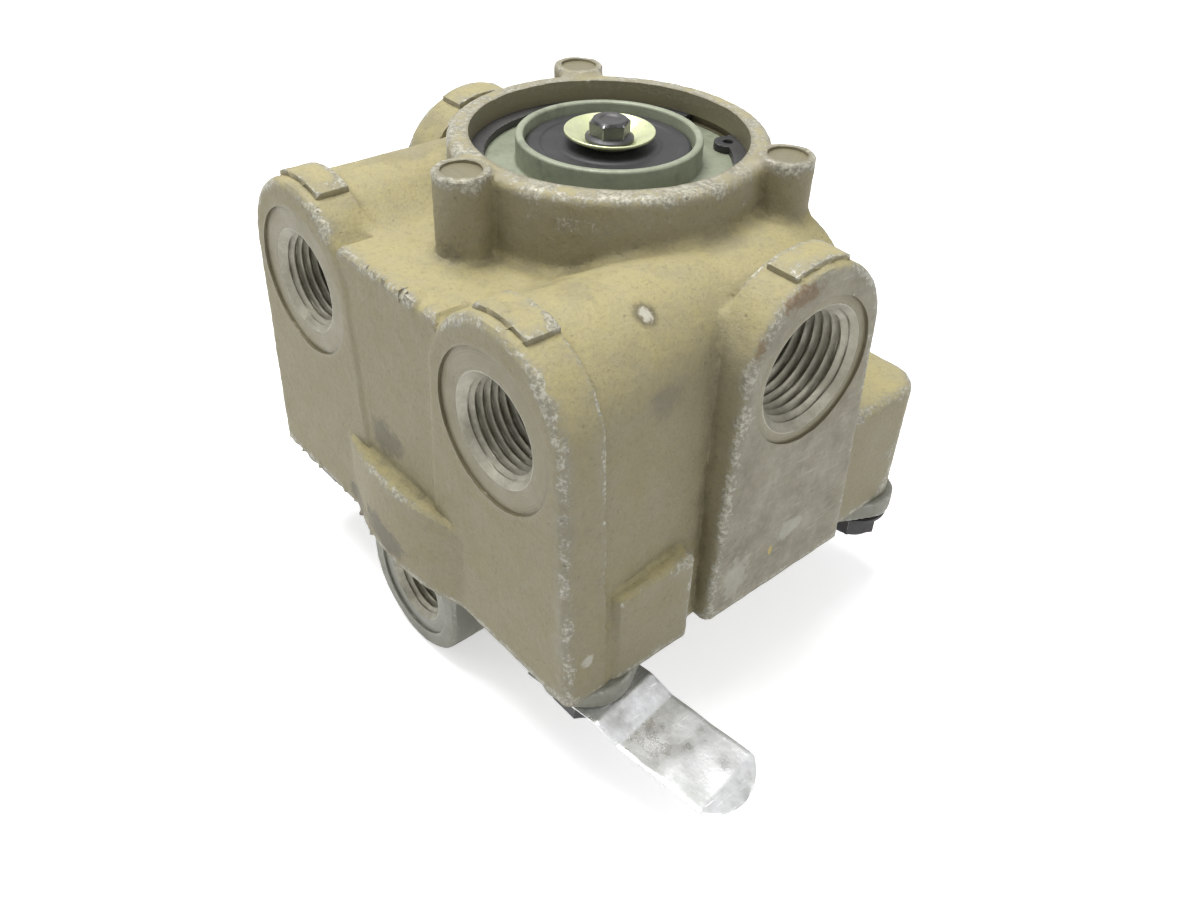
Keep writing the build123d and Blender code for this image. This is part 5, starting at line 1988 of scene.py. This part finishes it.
SMUDGE = (0.085, 0.075, 0.055)
SCUFF = (0.50, 0.49, 0.43)
RUST = (0.15, 0.095, 0.045)
CASTING_MARKS = (
    Mark((35.4, -23.7, 83.0), (2.9, 2.6, 2.6), (0.10, 0.085, 0.05), 0.85, 0.12, 900.0),
    Mark((35.5, -23.6, 83.0), (1.6, 1.3, 1.6), (0.46, 0.44, 0.36), 0.9, 0.45, 1300.0),
    Mark((-4.5, -46.0, 47.0), (7.0, 4.0, 4.5), SMUDGE, 0.6, 0.5, 260.0),
    Mark((-3.0, -49.0, 27.5), (9.0, 4.0, 5.0), SMUDGE, 0.7, 0.5, 240.0),
    Mark((-16.0, -46.5, 26.0), (6.0, 4.0, 3.5), SMUDGE, 0.6, 0.5, 300.0),
    Mark((6.0, -46.0, 39.0), (3.5, 3.0, 3.5), SMUDGE, 0.5, 0.5, 400.0),
    Mark((43.5, -24.0, 72.0), (4.0, 6.0, 4.5), (0.15, 0.135, 0.095), 0.6, 0.45, 260.0),
    Mark((47.4, -3.5, 84.0), (1.2, 5.5, 2.4), RUST, 0.75, 0.55, 700.0),
    Mark((47.4, -11.5, 79.0), (1.2, 2.0, 3.5), RUST, 0.6, 0.5, 900.0),
    Mark((47.5, -0.2, 31.3), (0.9, 0.6, 1.4), (0.46, 0.36, 0.10), 0.9, 0.2, 1200.0),
    Mark((47.5, 4.5, 34.0), (1.0, 4.5, 2.6), SCUFF, 0.4, 0.6, 500.0),
    Mark((47.5, -9.0, 30.0), (1.0, 4.0, 6.0), SCUFF, 0.35, 0.7, 700.0),
    Mark((47.5, 12.0, 60.0), (1.0, 3.0, 7.0), (0.17, 0.145, 0.10), 0.5, 0.6, 400.0),
    Mark((46.2, -42.0, 31.0), (1.5, 1.6, 1.6), SCUFF, 0.6, 0.5, 900.0),
    Mark((30.3, 0.0, 84.0), (3.0, 6.0, 3.0), (0.20, 0.175, 0.105), 0.5, 0.5, 300.0),
    # Painted shade on the side of the front boss, laid over a smudge there
    Mark((0.0, -30.4, 82.0), (5.5, 5.5, 6.0), (0.11, 0.10, 0.08), 0.7, 0.4, 300.0),
)


def finishes(effects: EffectLibrary) -> dict[str, bpy.types.Material]:
    """Every material, under the name of the slot it belongs to.

    Args:
        effects: The shared node groups.

    Returns:
        Materials by slot name.
    """
    made: dict[str, Any] = {
        "body_casting": ChromatedCasting(
            "olive_chromated_casting",
            coat_top_with_painted_light=(0.345, 0.30, 0.145),
            coat_side_with_painted_shade=(0.235, 0.208, 0.125),
            coat_thin=(0.275, 0.26, 0.185),
            coat_dull=(0.18, 0.158, 0.092),
            metal=(0.44, 0.43, 0.36),
            metal_dark=(0.20, 0.19, 0.15),
            bare_light=(0.30, 0.28, 0.215),
            bare_dark=(0.19, 0.175, 0.13),
            machined=(0.205, 0.185, 0.118),
            edge_grey=(0.245, 0.23, 0.175),
            dirt=(0.075, 0.06, 0.036),
            marks=CASTING_MARKS,
        ),
        "cover_casting": ChromatedCasting(
            "bare_grey_casting",
            coat_top_with_painted_light=(0.30, 0.30, 0.25),
            coat_side_with_painted_shade=(0.23, 0.23, 0.19),
            coat_thin=(0.27, 0.27, 0.23),
            coat_dull=(0.16, 0.16, 0.13),
            metal=(0.46, 0.46, 0.42),
            metal_dark=(0.32, 0.32, 0.28),
            bare_light=(0.29, 0.29, 0.25),
            bare_dark=(0.21, 0.21, 0.17),
            machined=(0.25, 0.25, 0.21),
            edge_grey=(0.27, 0.27, 0.23),
            dirt=(0.04, 0.036, 0.028),
        ),
        "black_steel": Finish(
            "black_phosphated_steel", (0.035, 0.035, 0.038), (0.06, 0.058, 0.055), 0.35, 0.48, 0.62,
            worn=(0.3, 0.29, 0.28), worn_level=1.2, scratches=0.2,
        ),
        "seal_rubber": Finish("matt_seal_rubber", (0.022, 0.022, 0.023), (0.035, 0.034, 0.032), 0.0, 0.66, 0.8),
        "tag_metal": Finish(
            "bright_tag_strip", (0.72, 0.73, 0.74), (0.42, 0.43, 0.42), 0.9, 0.24, 0.5,
            mottle_scale=120.0, contrast=1.3, grain_depth=0.00002, scratches=0.5, dirt=(0.2, 0.19, 0.16),
            dirt_amount=0.35,
        ),
        "piston_alloy": Finish(
            "turned_piston_alloy", (0.6, 0.6, 0.58), (0.5, 0.5, 0.48), 0.85, 0.34, 0.48, turning=0.6,
        ),
        "valve_brass": Finish(
            "turned_valve_brass", (0.62, 0.46, 0.22), (0.48, 0.34, 0.16), 0.9, 0.32, 0.5, turning=0.5,
        ),
        "spring_steel": Finish("drawn_spring_wire", (0.5, 0.5, 0.5), (0.36, 0.35, 0.33), 0.9, 0.35, 0.5),
        "insert_alloy": Finish(
            "coated_insert_alloy", (0.27, 0.295, 0.21), (0.205, 0.225, 0.16), 0.12, 0.42, 0.58,
            mottle_scale=160.0, worn=(0.55, 0.55, 0.46), worn_level=0.95, turning=0.5, turning_scale=2600.0,
            dirt_amount=0.4,
        ),
        "flap_rubber": Finish(
            "satin_flap_rubber", (0.017, 0.018, 0.018), (0.028, 0.029, 0.028), 0.0, 0.5, 0.62,
            mottle_scale=110.0, dirt=(0.09, 0.09, 0.08), dirt_amount=0.15, grain_depth=0.000025, specular=0.35,
        ),
        "yellow_zinc": Finish(
            "yellow_zinc_washer", (0.62, 0.67, 0.37), (0.56, 0.58, 0.38), 0.7, 0.3, 0.42,
            mottle_scale=210.0, contrast=1.2, scratches=0.3, turning=0.35, grain_depth=0.00002,
        ),
        "dark_screw": Finish(
            "black_oxide_screw", (0.045, 0.045, 0.048), (0.075, 0.072, 0.07), 0.5, 0.38, 0.55,
            worn=(0.32, 0.31, 0.3), worn_level=0.9, scratches=0.25,
        ),
    }  # fmt: skip
    made["thread"] = Finish(
        "tapped_thread_alloy", (0.36, 0.345, 0.275), (0.27, 0.255, 0.195), 0.35, 0.36, 0.5,
        mottle_scale=300.0, dirt_amount=0.35, grain_depth=0.00002,
    )  # fmt: skip
    return {name: finish.make(effects) for name, finish in made.items()}


# Stage


@dataclass(frozen=True)
class Studio:
    """White sweep with soft light from above and behind, and the camera of the photograph."""

    place: tuple[float, float, float] = (0.13022, -0.11788, 0.16265)
    yaw: float = -47.615
    pitch: float = 38.136
    roll: float = 2.496
    lens: float = 32.107
    floor_white: float = 0.8
    floor_glow: float = 0.55

    def camera(self) -> None:
        """Sets the camera by its yaw, pitch and roll."""
        yaw, pitch, roll = (math.radians(a) for a in (self.yaw, self.pitch, self.roll))
        ahead = Vector((math.sin(yaw) * math.cos(pitch), math.cos(yaw) * math.cos(pitch), -math.sin(pitch)))
        right = Vector((math.cos(yaw), -math.sin(yaw), 0.0))
        up = right.cross(ahead)
        across = math.cos(roll) * right + math.sin(roll) * up
        upward = -math.sin(roll) * right + math.cos(roll) * up
        data = bpy.data.cameras.new("camera")
        data.lens = self.lens
        data.clip_start = 0.005
        camera = bpy.data.objects.new("camera", data)
        turn = Matrix((across, upward, -ahead)).transposed().to_4x4()
        turn.translation = Vector(self.place)
        camera.matrix_world = turn
        bpy.context.scene.collection.objects.link(camera)
        bpy.context.scene.camera = camera

    def floor(self) -> bpy.types.Object:
        """Wide pale floor that shows white to the camera and keeps a faint shadow."""
        size = 3000.0
        corners = np.array([(-size, -size, 0.0), (size, -size, 0.0), (size, size, 0.0), (-size, size, 0.0)])
        piece = Shell(corners, [[0, 1, 2, 3]]).to_object("floor", self._floor_material(), weld=False)
        return piece

    def _floor_material(self) -> bpy.types.Material:
        """Matt white, with a glow that only rays from the camera and mirrored rays see."""
        material = bpy.data.materials.new("white_sweep")
        material.use_nodes = True
        material.node_tree.nodes.clear()
        graph = Graph(material.node_tree)
        path = graph.add("ShaderNodeLightPath")
        seen = graph.value("MAXIMUM", path.outputs["Is Camera Ray"], path.outputs["Is Glossy Ray"])
        seen = graph.value("MAXIMUM", seen, path.outputs["Is Transmission Ray"])
        white = (self.floor_white, self.floor_white, self.floor_white)
        shader = graph.add(
            "ShaderNodeBsdfPrincipled",
            {
                "Base Color": white,
                "Roughness": 1.0,
                "Specular IOR Level": 0.0,
                "Emission Color": (1.0, 1.0, 1.0),
                "Emission Strength": graph.value("MULTIPLY", seen, self.floor_glow),
            },
        )
        graph.add("ShaderNodeOutputMaterial", {"Surface": shader.outputs[0]})
        return material

    def world(self) -> None:
        """Sky that is white to the camera and softer as a light."""
        world = bpy.data.worlds.new("sky")
        world.use_nodes = True
        world.node_tree.nodes.clear()
        graph = Graph(world.node_tree)
        path = graph.add("ShaderNodeLightPath")
        seen = graph.value("MAXIMUM", path.outputs["Is Camera Ray"], path.outputs["Is Glossy Ray"])
        strength = graph.between(seen, 0.42, 1.0)
        back = graph.add("ShaderNodeBackground", {"Color": (1.0, 1.0, 1.0), "Strength": strength})
        graph.add("ShaderNodeOutputWorld", {"Surface": back.outputs[0]})
        bpy.context.scene.world = world

    def light(self, name: str, place: Colour, size: float, power: float) -> None:
        """Adds one soft lamp that looks at the valve.

        Args:
            name: Name of the lamp.
            place: Its place in metres.
            size: Edge length in metres.
            power: Power in watts.
        """
        data = bpy.data.lights.new(name, "AREA")
        data.size = size
        data.energy = power
        lamp = bpy.data.objects.new(name, data)
        way = Vector((0.0, 0.0, 0.05)) - Vector(place)
        lamp.rotation_euler = way.to_track_quat("-Z", "Y").to_euler()
        lamp.location = place
        bpy.context.scene.collection.objects.link(lamp)

    def build(self) -> None:
        """Sets camera, floor, sky and lamps."""
        self.camera()
        self.floor()
        self.world()
        self.light("key_light", (-0.2, -0.05, 0.9), 0.5, 10.0)
        self.light("left_light", (-0.5, -0.6, 0.6), 0.6, 1.5)
        self.light("right_light", (0.7, 0.1, 0.5), 0.5, 1.5)


# Valve


class Valve:
    """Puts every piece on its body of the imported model."""

    def __init__(self, materials: dict[str, bpy.types.Material]) -> None:
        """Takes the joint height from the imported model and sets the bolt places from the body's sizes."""
        self.materials = materials
        joint_z = round(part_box("body")[0].z / MM, 3)
        self.at = Assembly(joint_z)
        self.body = BodyCasting(joint_z)
        rows = (self.body.bolt_front, self.body.bolt_rear)
        self.bolt_places = [(side * self.body.bolt_offset, y) for side in (-1, 1) for y in rows]
        self.tag_place = (self.body.bolt_offset, self.body.bolt_front)

    def add(self, piece: bpy.types.Object, slot: str, body: Body, node: str) -> None:
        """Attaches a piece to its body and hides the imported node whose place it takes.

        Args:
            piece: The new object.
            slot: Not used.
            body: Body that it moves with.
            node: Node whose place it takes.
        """
        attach(piece, body.value)
        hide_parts(node)
        LOG.info("%-18s %7d faces", piece.name, len(piece.data.polygons))

    def plain(self, name: str, shell: Shell, slot: str, body: Body, node: str) -> None:
        """Makes a piece whose shell is ready and attaches it to its body."""
        self.add(shell.to_object(name, self.materials[slot]), slot, body, node)

    def castings(self) -> None:
        """Body and cover, with the tapped walls of their ports."""
        self.add(self.body.make(self.materials["body_casting"]), "body_casting", Body.CASTING, "body")
        cover = CoverCasting(self.at.joint_z, self.bolt_places)
        self.add(cover.make(self.materials["cover_casting"]), "cover_casting", Body.CASTING, "cover")
        body = self.body
        front_z = self.at.joint_z + body.front_port_height
        side_z = self.at.joint_z + body.side_port_height
        for side, name in ((-1, "left"), (1, "right")):
            mouth = (side * body.front_port_offset, -body.front_reach, front_z)
            thread = ThreadSleeve(body.front_port, mouth, (0.0, 1.0, 0.0))
            self._thread(f"front_thread_{name}", thread, "body_casting", "body")
            mouth = (side * body.side_reach, body.side_port_offset, side_z)
            thread = ThreadSleeve(body.side_port, mouth, (-float(side), 0.0, 0.0), 1.15)
            self._thread(f"side_thread_{name}", thread, "body_casting", "body")
        mouth = (0.0, -cover.boss_reach, cover.boss_height)
        thread = ThreadSleeve(cover.port, mouth, (0.0, 1.0, 0.0))
        self._thread("control_thread", thread, "cover_casting", "cover")

    def _thread(self, name: str, thread: ThreadSleeve, slot: str, node: str) -> None:
        """Makes one tapped wall and attaches it to the casting."""
        piece = thread.shell().to_object(name, self.materials["thread"], 25.0)
        self.add(piece, slot, Body.CASTING, node)

    def inside(self) -> None:
        """Piston, valve, seals and spring."""
        parts, end = ValveInside(self.at), ExhaustEnd(self.at)
        self.plain("piston", parts.piston(), "piston_alloy", Body.PISTON, "relay_piston")
        self.plain("piston_ring", parts.piston_seal(), "seal_rubber", Body.PISTON, "piston_seal")
        self.plain("tube", parts.tube(), "valve_brass", Body.VALVE, "valve_tube")
        self.plain("valve_disc", parts.disc(), "seal_rubber", Body.VALVE, "valve_rubber")
        for name, shell in end.seals().items():
            self.plain(f"{name}_ring", shell, "seal_rubber", Body.CASTING, name)
        self.plain("spring_seat_ring", end.spring_seat(), "spring_steel", Body.CASTING, "spring_seat")
        coil = end.spring().to_object("spring_coil", self.materials["spring_steel"])
        self.add(coil, "spring_steel", Body.CASTING, "valve_spring")
        anchor = (0.0, 0.0, end.spring_top * MM)
        end.spring_keep
        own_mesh(coil)
        joint = self.at.joint_z
        ring = seal_ring(37.75, 40.25, joint - 1.25, 1.2)
        self.plain("cover_seal_ring", ring, "seal_rubber", Body.CASTING, "cover_seal")

    def exhaust(self) -> None:
        """Insert, snap ring, flap, washer and screw."""
        end = ExhaustEnd(self.at)
        insert = end.insert(self.materials["insert_alloy"])
        self.add(insert, "insert_alloy", Body.CASTING, "exhaust_insert")
        self.plain("snap", end.snap_ring(), "black_steel", Body.CASTING, "snap_ring")
        self.plain("flap", end.flap(), "flap_rubber", Body.CASTING, "exhaust_flap")
        self.plain("dished_washer", end.washer(), "yellow_zinc", Body.CASTING, "flap_washer")
        self.plain("hex_screw", end.screw(), "dark_screw", Body.CASTING, "flap_screw")

    def underside(self) -> None:
        """Cover bolts, lock washers and the tag under one of them."""
        tag = Tag(self.tag_place, self.at.ear_z)
        bolts, washers = None, None
        for place in self.bolt_places:
            drop = tag.thickness if place == self.tag_place else 0.0
            fixing = CoverBolt(place, self.at.ear_z - drop - 1.0, self.at.joint_z + 12.0)
            bolts = fixing.bolt() if bolts is None else bolts + fixing.bolt()
            washers = fixing.washer() if washers is None else washers + fixing.washer()
        self.plain("bolts", bolts, "black_steel", Body.CASTING, "cover_bolts")
        self.plain("lock_washers", washers, "black_steel", Body.CASTING, "bolt_washers")
        self.add(tag.make(self.materials["tag_metal"]), "tag_metal", Body.CASTING, "id_tag")


def main() -> None:
    """Builds every piece and the stage round it."""
    logging.basicConfig(level=logging.INFO, format="%(message)s")
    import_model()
    materials = finishes(EffectLibrary())
    valve = Valve(materials)
    valve.castings()
    valve.inside()
    valve.exhaust()
    valve.underside()
    Studio().build()
    bpy.context.scene.view_settings.view_transform = "Standard"


if __name__ == "__main__":
    main()
